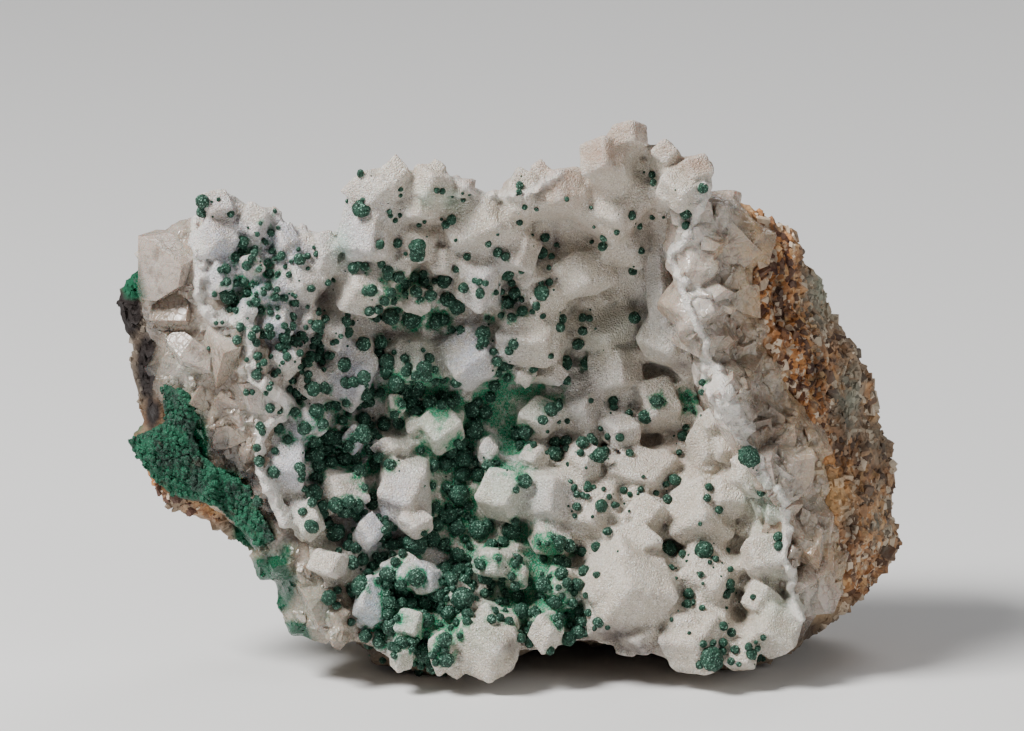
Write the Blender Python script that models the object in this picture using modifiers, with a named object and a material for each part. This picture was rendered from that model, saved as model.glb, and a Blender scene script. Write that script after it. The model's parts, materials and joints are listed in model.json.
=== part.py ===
"""Malachite on drusy quartz: a broken piece of a crystal-lined hollow, standing on its foot.

Metres, +Z up. The hollow opens towards -Y, +X is to its right, and the origin is at the
bottom centre of the whole piece. Run with: blender --background --python part.py
"""

import math
import random

import bmesh
import bpy
from mathutils import Euler, Matrix, Vector, noise
from mathutils.bvhtree import BVHTree

MM = 0.001

# Driving sizes of the whole piece
OBJECT_NAME = "malachite_on_quartz"
DEPTH = 50.0 * MM
GAP = 0.3 * MM  # between two solids that grew on each other
SEED = 11

# The piece is laid out as it is seen: from the front, a little from above. A place is given
# in millimetres as (across, up, back): up is measured in that slanting view, and back is the
# distance behind the foremost crystal.
VIEW_SLOPE = math.radians(12)
FOOT_RISE = 1.7
VIEW_DIRECTION = Vector((0, math.cos(VIEW_SLOPE), -math.sin(VIEW_SLOPE)))
MIDDLE = (0.0, 42.0)  # across and up of the hollow's middle

# Sections of the rock, each a closed line of places round the middle
FLOOR = [
    (-22, 42, 22), (-20, 52, 21), (-12, 60, 20), (0, 62, 20), (10, 59, 23),
    (19, 55, 28), (24, 46, 30), (23, 36, 27), (18, 28, 21), (8, 24, 19),
    (-4, 24, 18), (-14, 28, 18), (-20, 34, 20),
]
SLOPE = [
    (-32, 45, 14), (-34, 56, 14), (-30, 63, 17), (-22, 66, 17), (-12, 69, 17), (2, 69, 17),
    (12, 70, 17), (20, 69, 18), (24, 60, 23), (27, 50, 25), (30, 40, 23), (34, 28, 19),
    (36, 18, 16), (30, 10, 13), (14, 12, 12), (0, 9, 10), (-12, 9, 9), (-22, 14, 10),
    (-28, 24, 12), (-32, 35, 13),
]
RIM = [
    (-46, 68, 11.5), (-45.3, 60, 9.5), (-44.5, 55, 8), (-38.6, 53.5, 6.5), (-37.8, 47, 6),
    (-33, 42.8, 5.8), (-35.5, 39, 6.5), (-37, 33, 8), (-34, 26, 8), (-31, 21, 7),
    (-27, 15, 6), (-24.5, 9, 5.5), (-21, 6, 5), (-16, 3.5, 5), (-10, 2.5, 4.5),
    (-5, 3, 4), (0, 5, 5), (7, 5.8, 6), (13, 7, 7), (20, 5, 7), (24, 4, 7),
    (31, 3.5, 7), (38, 4.5, 9), (43, 6, 11), (44.6, 9.5, 9.5), (43.6, 15, 8.5),
    (42.8, 22, 7), (42, 27, 6.5), (38.4, 33, 5.5), (34.2, 39, 5), (31.3, 44, 4.5),
    (30.2, 50, 4.5), (28, 57, 4.5), (26.2, 63, 4.5), (27.5, 67.5, 5), (30, 73, 6),
    (27, 77, 9), (20, 81, 10), (12, 77.5, 11), (4, 74.5, 12), (-4, 73, 13),
    (-10, 73, 14), (-18, 74.5, 14), (-23, 71.5, 14), (-26, 66.5, 14), (-31, 66.5, 14),
    (-38, 70.5, 14), (-43, 72, 14.5),
]
SHOULDER = [
    (-52, 66, 16.5), (-53, 58, 15), (-52, 50, 13.5), (-47.5, 44, 11.5), (-46.5, 38, 12),
    (-44.5, 32, 13), (-41.5, 26, 13.5), (-37.4, 20, 12.5), (-35, 13.5, 11), (-31, 7, 9.5),
    (-24, 5.6, 9), (-17, 4, 9), (-8, 3, 9), (0, 5.2, 10), (7, 6, 13), (13, 7.4, 14),
    (20, 5.5, 12), (26, 3.3, 11), (33, 3.3, 11), (40, 4.6, 12.5), (45.5, 6.5, 15),
    (49.5, 11, 17), (52, 17, 20), (51.5, 24, 18), (50.5, 31, 17), (48, 37, 16),
    (44, 43, 13.5), (41.5, 48, 12.5), (39.5, 54, 12.5), (38, 60, 12.5), (38, 68, 14),
    (35, 74, 14), (29, 76, 14), (21, 79, 14), (12, 75.5, 15), (4, 73, 16),
    (-4, 71.5, 17), (-10, 71.5, 18), (-18, 72, 18), (-23, 69, 18), (-27, 65, 18),
    (-31, 65, 18), (-38, 69, 18), (-43, 71.8, 17), (-48, 71.7, 17),
]
EDGE = [
    (-58.6, 58, 23), (-57, 62.8, 22), (-54, 68, 21.5), (-50.2, 71.6, 21), (-45, 71, 23),
    (-38, 68, 24), (-30, 64, 24), (-22, 69, 24), (-12, 71, 24), (0, 71.5, 24),
    (12, 74, 22), (20, 77, 21), (28, 76, 22), (36.5, 73.6, 23), (41, 70.2, 27),
    (45.2, 66, 30), (49.2, 60, 33), (52.5, 53, 35), (56.3, 45, 37), (58.6, 38, 38),
    (59.4, 29, 38), (60.6, 19.4, 37), (57.6, 14.2, 36), (51.6, 9.4, 32), (46.6, 7.2, 27),
    (38, 2.2, 19), (30, 0.9, 16), (22, 4.8, 28), (12, 6.3, 29), (4, 4.4, 22),
    (-5, 0.8, 14), (-13, 0.9, 14), (-20, 3.6, 18), (-28, 11, 24), (-34, 16, 23),
    (-40, 21.7, 21), (-45, 23.7, 20), (-50.5, 27.7, 20), (-54.8, 32.7, 21),
    (-58, 37.6, 22), (-56, 42.5, 21), (-57.3, 46, 21), (-57.2, 52.5, 22),
]
BACK = [
    (-47, 50, 40), (-45, 62, 40), (-30, 64, 43), (-10, 68, 46), (10, 71, 46), (28, 70, 46),
    (42, 63, 46), (51, 52, 47), (55, 40, 47.5), (56, 28, 47.5), (54, 18, 47),
    (45, 8.4, 44), (30, 6.2, 45), (10, 6.4, 46), (-8, 6.3, 43), (-20, 11, 40),
    (-32, 20, 38), (-44, 32, 38),
]

# The border between the translucent quartz and the host rock, where it comes to the surface
BORDER = [
    (-56.5, 60, 20), (-54.5, 56.5, 17), (-53.5, 50, 16), (-53, 42, 15), (-51.5, 36, 15.5),
    (-48.5, 30, 16.5), (-44, 25.3, 17), (-38.5, 19, 16), (-35.5, 12, 14), (-31, 7.3, 12),
    (-22, 5, 12), (-10, 2.5, 12), (2, 5, 14), (14, 7, 18), (26, 4, 14), (40, 4, 15),
    (48, 8.5, 20), (53.5, 16.5, 23), (52, 21, 19.5), (48.5, 26, 15), (50, 34, 17),
    (47.5, 37, 15.5), (45.5, 42, 15), (41.5, 45, 12.5), (40, 53, 12), (37.2, 57, 12),
    (37.6, 66, 14), (36.5, 73, 16), (28, 77, 20), (10, 75, 21), (-10, 71, 22),
    (-24, 67, 22), (-34, 67, 22), (-45, 71.5, 21), (-52.5, 69, 20),
]
QUARTZ_BACK = 33.0  # how far back the quartz layer reaches behind the hollow
QUARTZ_SHARES = ((0.55, 1.0), (0.82, 8.0))  # its inner lines: size, and distance before its back
HOLLOW_BACK = 24.0  # how far back the middle of the hollow lies
OPEN_FRONT = -25.0  # well in front of every crystal
ROCK_FRONT = 3.0  # how far the uncut rock bulges in front of the rim

# How fine the skins are
SMALL_TURN = 1e-7  # radians
ROCK_SIDES = 72
ROCK_STEPS = 3
ROCK_GRAIN = 1.2 * MM
ROCK_ROUNDING = 1
ROCK_TRIANGLES = 1300
HOLLOW_SIDES = 40
CRUST_GRAIN = 0.6 * MM
CRUST_ROUNDING = 2
CRUST_TRIANGLES = 3000

# The broken surface of the rock: size of its bumps, and their height
ROUGHNESS_SIZES = ((9.0 * MM, 1.3 * MM), (4.0 * MM, 0.6 * MM))
STEP_SHARE = 0.7  # how much of a bump is a broken step

# Crystals of the lining: across, up, width, height, stand above the bed, turn to the right,
# lean upwards and roll, in degrees, and the tip as a share of the width
CRYSTALS = [
    # upper left
    (-43.2, 67, 6.8, 6.4, 3.0, -15, 5, 8, 0.15),
    (-43.2, 72.0, 6.2, 5.4, 3.0, -10, 25, -6, 0.20),
    (-37.5, 69.2, 5.2, 7.6, 4.0, -10, 20, 4, 0.08),
    (-33.0, 66.6, 4.4, 6.4, 3.2, 5, 10, -12, 0.20),
    (-30.3, 62.0, 8.4, 10.4, 5.0, 20, 10, 14, 0.18),
    (-38.0, 62.8, 4.4, 4.6, 3.0, 0, 8, 20, 0.25),
    (-36.0, 59.2, 5.4, 4.0, 3.2, 10, -10, -10, 0.20),
    (-38.6, 56.4, 3.6, 4.2, 2.6, 10, 0, 10, 0.20),
    (-34.0, 54.8, 5.6, 6.0, 3.4, 15, 10, 30, 0.22),
    (-29.3, 55.2, 3.9, 5.0, 3.2, 15, 5, -15, 0.20),
    (-42.6, 61.0, 4.0, 6.4, 2.2, -10, 0, 4, 0.15),
    (-33.0, 48.7, 5.4, 5.8, 3.2, 20, 0, 18, 0.20),
    # upper middle
    (-20.0, 74.3, 8.8, 5.6, 4.6, -6, 50, 4, 0.10),
    (-21.0, 68.0, 8.6, 10.6, 6.0, -12, 8, -6, 0.14),
    (-16.3, 76.3, 4.8, 6.6, 4.6, 12, 30, -14, 0.25),
    (-11.2, 75.2, 6.6, 6.8, 4.8, -8, 30, 16, 0.25),
    (-12.8, 71.6, 5.4, 4.4, 4.2, 6, 20, 10, 0.22),
    (-27.0, 64.8, 4.4, 7.6, 4.0, 10, 10, -8, 0.18),
    (-21.3, 59.3, 9.4, 8.0, 6.2, -8, -6, 6, 0.12),
    (-9.6, 63.8, 3.8, 5.2, 4.4, 4, 12, 4, 0.25),
    (-4.0, 61.2, 7.6, 10.4, 6.2, -6, 4, 12, 0.16),
    (-3.0, 69.8, 14.0, 9.0, 3.6, 4, 16, -4, 0.12),
    (2.0, 65.2, 6.8, 7.4, 4.2, 14, 6, 24, 0.18),
    (2.6, 74.0, 5.6, 7.2, 4.0, 8, 24, -8, 0.12),
    (3.8, 61.4, 4.2, 3.8, 3.6, 0, 16, 12, 0.28),
    (6.2, 58.8, 7.0, 6.8, 4.2, 20, -8, 32, 0.16),
    (-13.2, 57.8, 5.0, 5.0, 3.4, 0, 0, 22, 0.20),
    (-7.0, 74.6, 4.6, 3.0, 2.4, -10, 30, 10, 0.25),
    (-17.0, 63.2, 6.4, 5.0, 4.0, -10, 6, 18, 0.18),
    (-13.0, 66.6, 6.8, 6.4, 3.8, 10, 10, -20, 0.14),
    # upper right
    (8.6, 74.6, 7.6, 7.6, 4.8, 10, 20, 6, 0.08),
    (14.6, 78.8, 7.4, 7.6, 6.0, -6, 24, -14, 0.18),
    (18.6, 82.4, 6.0, 5.0, 4.2, 6, 30, 14, 0.20),
    (15.6, 73.0, 13.0, 13.4, 5.4, -10, 6, 38, 0.12),
    (26.2, 74.6, 7.6, 7.0, 6.0, -6, 14, 8, 0.12),
    (24.0, 79.6, 4.6, 4.8, 3.4, 10, 20, -10, 0.20),
    (28.6, 77.4, 5.6, 5.0, 3.6, -10, 20, 20, 0.14),
    (18.2, 66.4, 9.0, 8.0, 3.2, 16, -10, 12, 0.14),
    (12.0, 62.0, 10.0, 8.2, 5.0, 26, 0, -24, 0.18),
    (23.6, 61.5, 5.4, 16.0, 4.2, -24, 0, 4, 0.10),
    (24.6, 52.4, 9.6, 10.6, 5.4, -20, 10, 10, 0.20),
    (15.2, 53.4, 10.6, 10.0, 3.4, 14, -6, 22, 0.14),
    # middle
    (-23.2, 47.0, 8.0, 11.6, 4.2, 10, 0, 10, 0.14),
    (-13.6, 48.6, 9.4, 8.0, 4.2, 0, 6, 18, 0.18),
    (-5.6, 49.2, 8.8, 9.6, 5.0, -8, 6, -16, 0.16),
    (4.0, 52.2, 11.6, 9.0, 6.4, 4, 0, 4, 0.10),
    (3.2, 46.4, 3.8, 3.4, 3.6, 0, -8, 10, 0.25),
    (7.2, 46.8, 4.8, 4.0, 3.8, 6, -6, -12, 0.22),
    (16.6, 47.4, 9.0, 8.4, 4.4, 10, 8, 20, 0.20),
    (23.0, 42.2, 7.6, 9.6, 4.6, -6, 4, -10, 0.18),
    (12.0, 42.0, 7.2, 10.2, 4.2, 6, 4, 14, 0.16),
    (17.4, 38.2, 7.0, 5.4, 4.6, 4, -14, 8, 0.20),
    (-16.6, 42.0, 3.4, 4.0, 3.2, 0, 10, 10, 0.25),
    (-9.6, 38.6, 7.4, 7.6, 5.0, 0, 6, 12, 0.18),
    (-29.4, 39.4, 6.0, 5.4, 3.2, 20, 10, 24, 0.25),
    (-22.8, 37.0, 3.8, 4.8, 3.4, 6, 6, -18, 0.25),
    (5.4, 40.4, 8.0, 6.2, 3.2, 0, 0, -8, 0.16),
    (-2.6, 35.0, 3.4, 4.8, 3.2, 4, 0, 12, 0.22),
    (-25.6, 53.2, 3.8, 6.2, 3.4, 10, 6, -10, 0.20),
    (-13.6, 39.0, 3.2, 3.8, 3.0, 0, 0, 16, 0.25),
    (-17.2, 35.6, 6.2, 3.6, 3.4, -6, -6, 4, 0.20),
    (-29.0, 45.6, 5.0, 5.2, 2.8, 12, 6, 28, 0.22),
    # lower left
    (-32.4, 33.0, 5.8, 8.6, 3.2, 24, 0, 8, 0.16),
    (-29.3, 25.0, 4.4, 6.6, 3.4, 18, -6, -12, 0.22),
    (-26.6, 18.4, 6.4, 4.6, 4.2, -16, 10, 12, 0.20),
    (-24.2, 29.0, 8.0, 6.8, 4.2, 10, 0, 6, 0.14),
    (-20.4, 23.2, 4.6, 6.0, 4.4, -4, 16, 30, 0.28),
    (-15.2, 28.6, 8.6, 11.0, 5.4, 0, 0, 4, 0.12),
    (-13.4, 24.4, 5.6, 4.8, 5.0, 6, -10, 14, 0.22),
    (-14.8, 17.2, 8.0, 5.6, 4.2, -6, 14, 20, 0.16),
    (-11.6, 15.6, 5.0, 5.2, 4.4, 8, 10, -12, 0.20),
    (-20.2, 12.8, 5.2, 8.2, 4.4, -14, 10, -18, 0.18),
    (-14.2, 9.2, 5.2, 5.4, 4.4, 0, 4, 16, 0.18),
    (-15.6, 4.6, 4.0, 5.4, 4.2, -6, -8, 8, 0.20),
    (-2.6, 5.4, 10.6, 9.6, 5.4, 6, -6, 8, 0.12),
    (6.2, 8.0, 5.2, 6.4, 4.4, 0, -4, -8, 0.16),
    (-2.6, 10.6, 3.6, 4.2, 3.4, 6, 10, 24, 0.22),
    (-1.4, 18.2, 5.8, 5.4, 4.2, 0, 8, 12, 0.20),
    (2.2, 16.4, 3.4, 4.6, 3.2, 6, 0, -10, 0.22),
    (-9.6, 5.0, 4.4, 7.0, 4.2, -4, -6, 4, 0.18),
    (-7.6, 13.2, 5.4, 5.8, 3.4, 0, 8, 18, 0.20),
    # lower middle
    (-0.4, 28.6, 8.2, 9.0, 5.2, -10, -4, 10, 0.16),
    (6.8, 28.0, 7.0, 9.0, 6.0, 4, 0, 4, 0.14),
    (13.6, 25.4, 9.4, 10.0, 5.2, 6, -6, -10, 0.14),
    (6.8, 21.8, 7.0, 5.0, 4.0, 0, 0, 12, 0.16),
    (21.4, 25.8, 6.8, 6.4, 5.2, 8, 6, 26, 0.18),
    (20.8, 31.8, 12.4, 8.2, 5.0, 4, 12, -6, 0.12),
    (19.0, 14.2, 13.6, 13.0, 8.4, 8, -4, 36, 0.20),
    (19.2, 21.8, 10.0, 5.6, 4.4, 4, 16, 4, 0.14),
    (4.4, 34.2, 4.6, 4.6, 3.6, 0, 6, 14, 0.22),
    (12.0, 33.4, 5.2, 7.2, 4.2, 4, 6, -8, 0.20),
    (8.6, 14.6, 6.4, 6.6, 3.4, 0, 6, 22, 0.18),
    # lower right
    (28.6, 6.4, 10.8, 9.8, 6.0, 4, -8, 10, 0.14),
    (35.4, 4.6, 5.8, 5.6, 4.6, 8, -10, 30, 0.20),
    (40.2, 8.2, 8.8, 8.2, 5.0, -6, -4, 12, 0.16),
    (30.4, 15.4, 9.8, 9.8, 5.2, -4, 4, 18, 0.14),
    (38.8, 19.6, 7.6, 7.4, 4.0, -16, 6, 10, 0.16),
    (38.6, 12.6, 6.0, 6.8, 4.2, -10, 0, -14, 0.18),
    (29.6, 25.6, 10.6, 11.4, 5.0, -10, 8, 14, 0.14),
    (33.6, 28.4, 6.8, 6.8, 4.2, -14, 4, -20, 0.18),
    (36.0, 31.6, 5.4, 4.4, 3.0, -20, 10, 8, 0.18),
    (30.6, 36.0, 6.6, 10.2, 3.2, -24, 6, 12, 0.14),
    (20.4, 7.2, 6.8, 5.4, 3.0, 0, -10, 4, 0.18),
    (14.6, 9.6, 6.6, 5.0, 2.4, 4, -8, 12, 0.14),
]
CRYSTAL_TAPER = 0.78
CRYSTAL_ROOT = 3.0  # how deep a crystal is rooted behind the bed
BED_THICKNESS = 2.2
BED_BEHIND = 4.0  # how far the bed goes on behind the surface of the hollow
BED_SPREAD = 1.01  # and how far past the rim, as a share
RIM_BEHIND = 3.0

# Blocks of clear quartz left standing on the broken faces: across, up, back, width, height,
# length, turn, lean, roll, tip
SHARDS = [
    (-41.2, 50.5, 9.6, 7.2, 9.0, 9, -10, 0, 4, 0.10),
    (-41.0, 43.2, 10.5, 8.0, 6.5, 9, -24, 0, 30, 0.22),
    (-41.0, 37.6, 11.5, 6.4, 5.4, 8, -30, -10, 12, 0.20),
    (-48.0, 48.0, 14.5, 7.0, 7.4, 8, -30, 0, 22, 0.18),
    (-50.0, 56.0, 15.5, 6.6, 9.0, 9, -34, 6, 10, 0.14),
    (-49.0, 66.0, 16.0, 6.4, 8.0, 9, -30, 12, 16, 0.16),
    (-44.8, 60.0, 11.5, 3.8, 6.0, 8, -24, 4, 6, 0.14),
    (-55.6, 45.5, 20.5, 4.2, 9.0, 8, -40, 0, 4, 0.10),
    (-33.5, 9.5, 11.0, 5.0, 6.0, 7, -34, -14, 20, 0.18),
    (-34.6, 18.5, 11.0, 5.0, 6.4, 7, -34, -8, 12, 0.16),
    (31.0, 68.5, 9.0, 8.6, 9.6, 9, 24, 6, 14, 0.12),
    (31.5, 58.2, 8.2, 8.2, 6.4, 9, 26, 0, 8, 0.10),
    (34.6, 51.8, 9.6, 8.6, 6.0, 9, 30, 0, 24, 0.16),
    (35.2, 45.6, 9.8, 8.6, 6.4, 9, 30, 0, 10, 0.18),
    (40.2, 39.0, 12.0, 7.0, 7.4, 9, 30, -4, 18, 0.14),
    (43.0, 31.5, 12.5, 8.4, 8.4, 9, 26, -4, 8, 0.12),
    (48.4, 28.0, 16.0, 6.0, 8.0, 8, 36, -6, 26, 0.14),
    (47.6, 18.6, 15.0, 7.0, 6.4, 8, 30, -10, 14, 0.16),
    (47.6, 12.2, 14.5, 6.4, 5.6, 8, 26, -16, 10, 0.18),
]

# Lumps of the host rock: the same numbers
ROCK_LUMPS = [
    (42.5, 62.0, 19.0, 8.0, 13.0, 9, 44, 8, 12, 0.14),
    (46.5, 50.0, 21.0, 9.0, 11.0, 9, 46, 0, 30, 0.16),
    (51.0, 40.0, 25.0, 8.0, 10.0, 9, 50, 0, 16, 0.16),
    (54.5, 27.0, 30.0, 7.0, 13.0, 9, 54, -6, 10, 0.12),
    (55.0, 19.0, 32.0, 6.4, 6.0, 9, 50, -20, 24, 0.18),
    (-55.0, 38.0, 20.0, 6.0, 6.0, 8, -44, -14, 14, 0.18),
    (-48.5, 27.5, 18.5, 7.4, 5.0, 8, -34, -24, 10, 0.16),
    (14.0, 40.0, 46.5, 26.0, 24.0, 6, 176, 0, 18, 0.10),
    (-20.0, 50.0, 42.5, 22.0, 20.0, 7, 190, 10, 34, 0.12),
    (38.0, 30.0, 46.0, 20.0, 26.0, 6, 168, 0, 8, 0.10),
]

# The velvety green patch on the lower left outer face
VELVET = [
    (-51.7, 45.5), (-47.5, 44), (-45.8, 40.3), (-47, 38), (-45.5, 34.5), (-38.6, 30),
    (-34.5, 22), (-37, 21), (-43.5, 27), (-50, 28.5), (-53.5, 31.5), (-57, 36.8), (-51, 39.5),
]
VELVET_THICKNESS = 0.9 * MM
VELVET_REACH = (4.0, 23.0)  # how far back the outline cuts, front and rear

# Malachite balls: across, up, diameter
BALLS = [
    # upper left
    (-44.2, 71.6, 2.8), (-33.8, 71.5, 2.6), (-39.2, 66.5, 2.0), (-41.5, 58.5, 2.4),
    # upper middle
    (-21.5, 71.5, 2.6), (-13.1, 66.0, 2.7), (-13.1, 64.6, 2.5), (-22.7, 62.7, 2.0),
    (-15.9, 61.3, 2.1), (-13.3, 59.2, 2.2), (-9.1, 60.9, 2.5), (0.3, 61.9, 2.5),
    (1.5, 58.9, 2.1), (0.5, 57.5, 2.1), (5.5, 59.0, 2.5), (5.5, 65.0, 2.1), (-20.0, 59.3, 2.0),
    (-17.2, 55.4, 2.9), (-14.0, 55.2, 3.1), (-10.4, 54.8, 2.5), (-8.0, 57.4, 3.4),
    # upper right
    (27.0, 70.8, 2.0), (14.8, 66.4, 2.0),
    # middle left
    (-23.9, 53.1, 2.3), (-28.0, 54.0, 2.1), (-33.0, 52.3, 2.1), (-31.5, 51.8, 2.1),
    (-24.1, 48.2, 2.5), (-29.8, 48.3, 2.3), (-21.2, 46.3, 2.3), (-23.8, 45.5, 2.1),
    (-17.8, 48.8, 2.6), (-17.8, 47.1, 2.4), (-18.7, 51.4, 2.3), (-12.1, 47.7, 2.6),
    (-11.9, 46.3, 2.0), (-28.7, 44.6, 2.5), (-13.3, 44.3, 2.7), (-14.1, 42.4, 2.7),
    (-11.3, 42.6, 2.7), (-9.5, 43.4, 2.1), (-28.2, 41.3, 2.5), (-30.1, 38.6, 2.3),
    (-28.7, 36.7, 2.5), (-25.7, 37.3, 3.6), (-21.3, 37.8, 3.0), (-18.3, 39.1, 2.3),
    (-16.1, 39.4, 2.2), (-28.4, 34.7, 2.6), (-28.0, 32.9, 2.1), (-26.1, 33.6, 2.3),
    (-23.7, 34.0, 3.4), (-22.0, 32.2, 2.6), (-30.6, 32.8, 2.0), (-17.4, 33.4, 2.0),
    (-9.0, 33.3, 2.5), (-10.8, 33.0, 2.1),
    # centre
    (-3.3, 53.0, 2.4), (-3.3, 51.5, 2.1), (-0.3, 47.9, 2.1), (9.1, 48.5, 2.3), (7.1, 41.5, 2.2),
    (3.2, 38.1, 2.4), (1.8, 37.6, 2.1), (7.6, 36.5, 2.1), (9.3, 36.7, 2.0), (7.5, 34.8, 2.6),
    (11.7, 36.5, 2.1), (13.1, 36.4, 2.1), (14.3, 34.7, 2.6), (21.2, 40.4, 2.3),
    (22.9, 42.7, 2.3), (-4.7, 38.4, 3.3), (-5.1, 41.3, 2.5), (-3.0, 41.0, 2.5),
    (-6.2, 34.2, 3.2), (-6.7, 36.5, 2.2),
    # lower left
    (-28.7, 29.0, 3.0), (-27.3, 27.2, 2.1), (-24.6, 26.5, 2.6), (-22.6, 26.6, 2.6),
    (-25.5, 23.0, 3.0), (-23.4, 21.2, 2.2), (-15.7, 21.4, 2.3), (-13.5, 21.2, 3.6),
    (-11.0, 22.0, 2.6), (-17.6, 16.7, 2.8), (-13.3, 16.3, 2.7), (-21.7, 15.0, 3.0),
    (-23.0, 18.5, 2.4), (-21.3, 19.0, 2.1), (-15.7, 14.3, 2.7), (-17.5, 12.5, 2.5),
    (-14.3, 12.2, 2.3), (-12.0, 12.6, 2.8), (-10.0, 13.7, 2.6), (-17.6, 10.8, 2.0),
    (-17.0, 8.8, 3.0), (-21.0, 7.5, 2.1), (-19.0, 6.5, 2.1), (-12.0, 5.0, 3.4), (-9.0, 7.0, 2.5),
    (-8.8, 4.3, 2.6), (-9.0, 17.4, 2.5), (-7.2, 19.4, 2.6), (-7.9, 15.9, 2.3), (-6.0, 15.8, 2.2),
    (-6.3, 13.2, 3.2), (-8.4, 11.0, 2.5), (-6.4, 31.6, 2.7), (-4.2, 31.7, 2.3),
    (-6.9, 28.6, 3.3), (-8.4, 25.5, 2.5), (-4.0, 23.3, 3.0),
    # lower middle
    (3.0, 30.7, 2.4), (1.0, 23.2, 2.8), (-1.9, 21.1, 2.0), (1.7, 18.9, 2.3), (-3.0, 16.3, 2.5),
    (8.5, 16.9, 2.1), (10.8, 15.3, 2.3), (11.8, 16.9, 2.1), (5.7, 15.2, 2.5), (2.0, 13.4, 2.1),
    (7.5, 12.5, 2.5), (2.5, 11.2, 2.4), (11.4, 10.6, 2.2), (3.4, 7.8, 2.1), (9.5, 7.2, 2.7),
    (11.0, 8.2, 2.4), (14.6, 27.0, 2.3),
    # lower right
    (24.6, 20.4, 2.8), (29.9, 20.3, 2.8), (25.6, 30.9, 2.0), (31.0, 4.6, 4.0), (32.4, 37.0, 2.6),
    (41.0, 21.9, 2.2),
]
BALL_STAND = 0.22  # how far a ball's centre stands off the crystal, in diameters
BALL_SWELL = 1.06  # a ball with few faces is this much larger, which keeps its volume
FINE_BALL = 3.5  # from this diameter a ball has more faces
MOST_CLUSTERS = 54

COLOURS = {
    "host_rock": (0.42, 0.22, 0.10),
    "quartz_wall": (0.52, 0.44, 0.36),
    "druse_crust": (0.78, 0.75, 0.72),
    "malachite_velvet": (0.01, 0.16, 0.08),
    "malachite": (0.02, 0.11, 0.07),
}
ROUGHNESS = {
    "host_rock": 0.9,
    "quartz_wall": 0.25,
    "druse_crust": 0.45,
    "malachite_velvet": 0.7,
    "malachite": 0.55,
}


def place(across, up, back):
    """The point in space of a place given as it is seen from the front."""
    height = (up + FOOT_RISE - back * math.sin(VIEW_SLOPE)) / math.cos(VIEW_SLOPE)
    return Vector((across * MM, back * MM - DEPTH / 2, height * MM))


def clear_scene():
    for obj in list(bpy.data.objects):
        bpy.data.objects.remove(obj, do_unlink=True)


def new_collection(name):
    collection = bpy.data.collections.new(name)
    bpy.context.scene.collection.children.link(collection)
    return collection


def material_of(kind):
    material = bpy.data.materials.get(kind)
    if material is None:
        material = bpy.data.materials.new(kind)
        material.use_nodes = True
        shader = material.node_tree.nodes["Principled BSDF"]
        shader.inputs["Base Color"].default_value = (*COLOURS[kind], 1)
        shader.inputs["Roughness"].default_value = ROUGHNESS[kind]
        shader.inputs["Metallic"].default_value = 0
    return material


def object_from(bm, name, collection):
    mesh = bpy.data.meshes.new(name)
    bm.to_mesh(mesh)
    bm.free()
    obj = bpy.data.objects.new(name, mesh)
    collection.objects.link(obj)
    return obj


def helper(bm, name, collection):
    """An object that only cuts or is joined to another, so it isn't shown."""
    obj = object_from(bm, name, collection)
    obj.hide_render = True
    obj.display_type = "WIRE"
    return obj


def apply_modifiers(obj):
    graph = bpy.context.evaluated_depsgraph_get()
    mesh = bpy.data.meshes.new_from_object(obj.evaluated_get(graph))
    old = obj.data
    obj.modifiers.clear()
    obj.data = mesh
    bpy.data.meshes.remove(old)


def combine(obj, other, operation, solver="EXACT"):
    modifier = obj.modifiers.new(operation.lower(), "BOOLEAN")
    modifier.operation = operation
    modifier.solver = solver
    modifier.object = other
    apply_modifiers(obj)


def simplify(obj, triangles):
    """Brings the object down to about this many triangles."""
    obj.data.calc_loop_triangles()
    modifier = obj.modifiers.new("facets", "DECIMATE")
    modifier.ratio = min(1.0, triangles / len(obj.data.loop_triangles))
    apply_modifiers(obj)


def one_skin(obj, grain, rounding):
    """One even skin round all that overlaps, with its sharpest edges rounded."""
    remesh = obj.modifiers.new("skin", "REMESH")
    remesh.mode = "VOXEL"
    remesh.voxel_size = grain
    smooth = obj.modifiers.new("rounding", "SMOOTH")
    smooth.iterations = rounding
    apply_modifiers(obj)


def grow_together(obj, shapes, cutters):
    """Joins closed shapes to the object, one after another."""
    for number, bm in enumerate(shapes):
        shape = helper(bm, f"{obj.name}_{number}", cutters)
        combine(obj, shape, "UNION", "MANIFOLD")
        bpy.data.objects.remove(shape, do_unlink=True)


def angle_of(point):
    return math.atan2(point[1] - MIDDLE[1], point[0] - MIDDLE[0])


def clockwise(points):
    turns = [
        (angle_of(b) - angle_of(a) + math.pi) % math.tau - math.pi
        for a, b in zip(points, points[1:] + points[:1])
    ]
    return points if sum(turns) < 0 else points[::-1]


def on_line(points, angle):
    """Where the closed line of places crosses the direction angle from the hollow's middle."""
    points = clockwise(points)
    count = len(points)
    for i in range(count):
        a, b = points[i], points[(i + 1) % count]
        start = angle_of(a)
        span = (start - angle_of(b)) % math.tau
        turn = (start - angle + SMALL_TURN) % math.tau - SMALL_TURN
        if turn <= span + SMALL_TURN < math.pi:
            share = min(max(turn / max(span, SMALL_TURN), 0), 1)
            return [a[k] + (b[k] - a[k]) * share for k in range(3)]
    raise ValueError("the line doesn't go round the middle")


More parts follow.
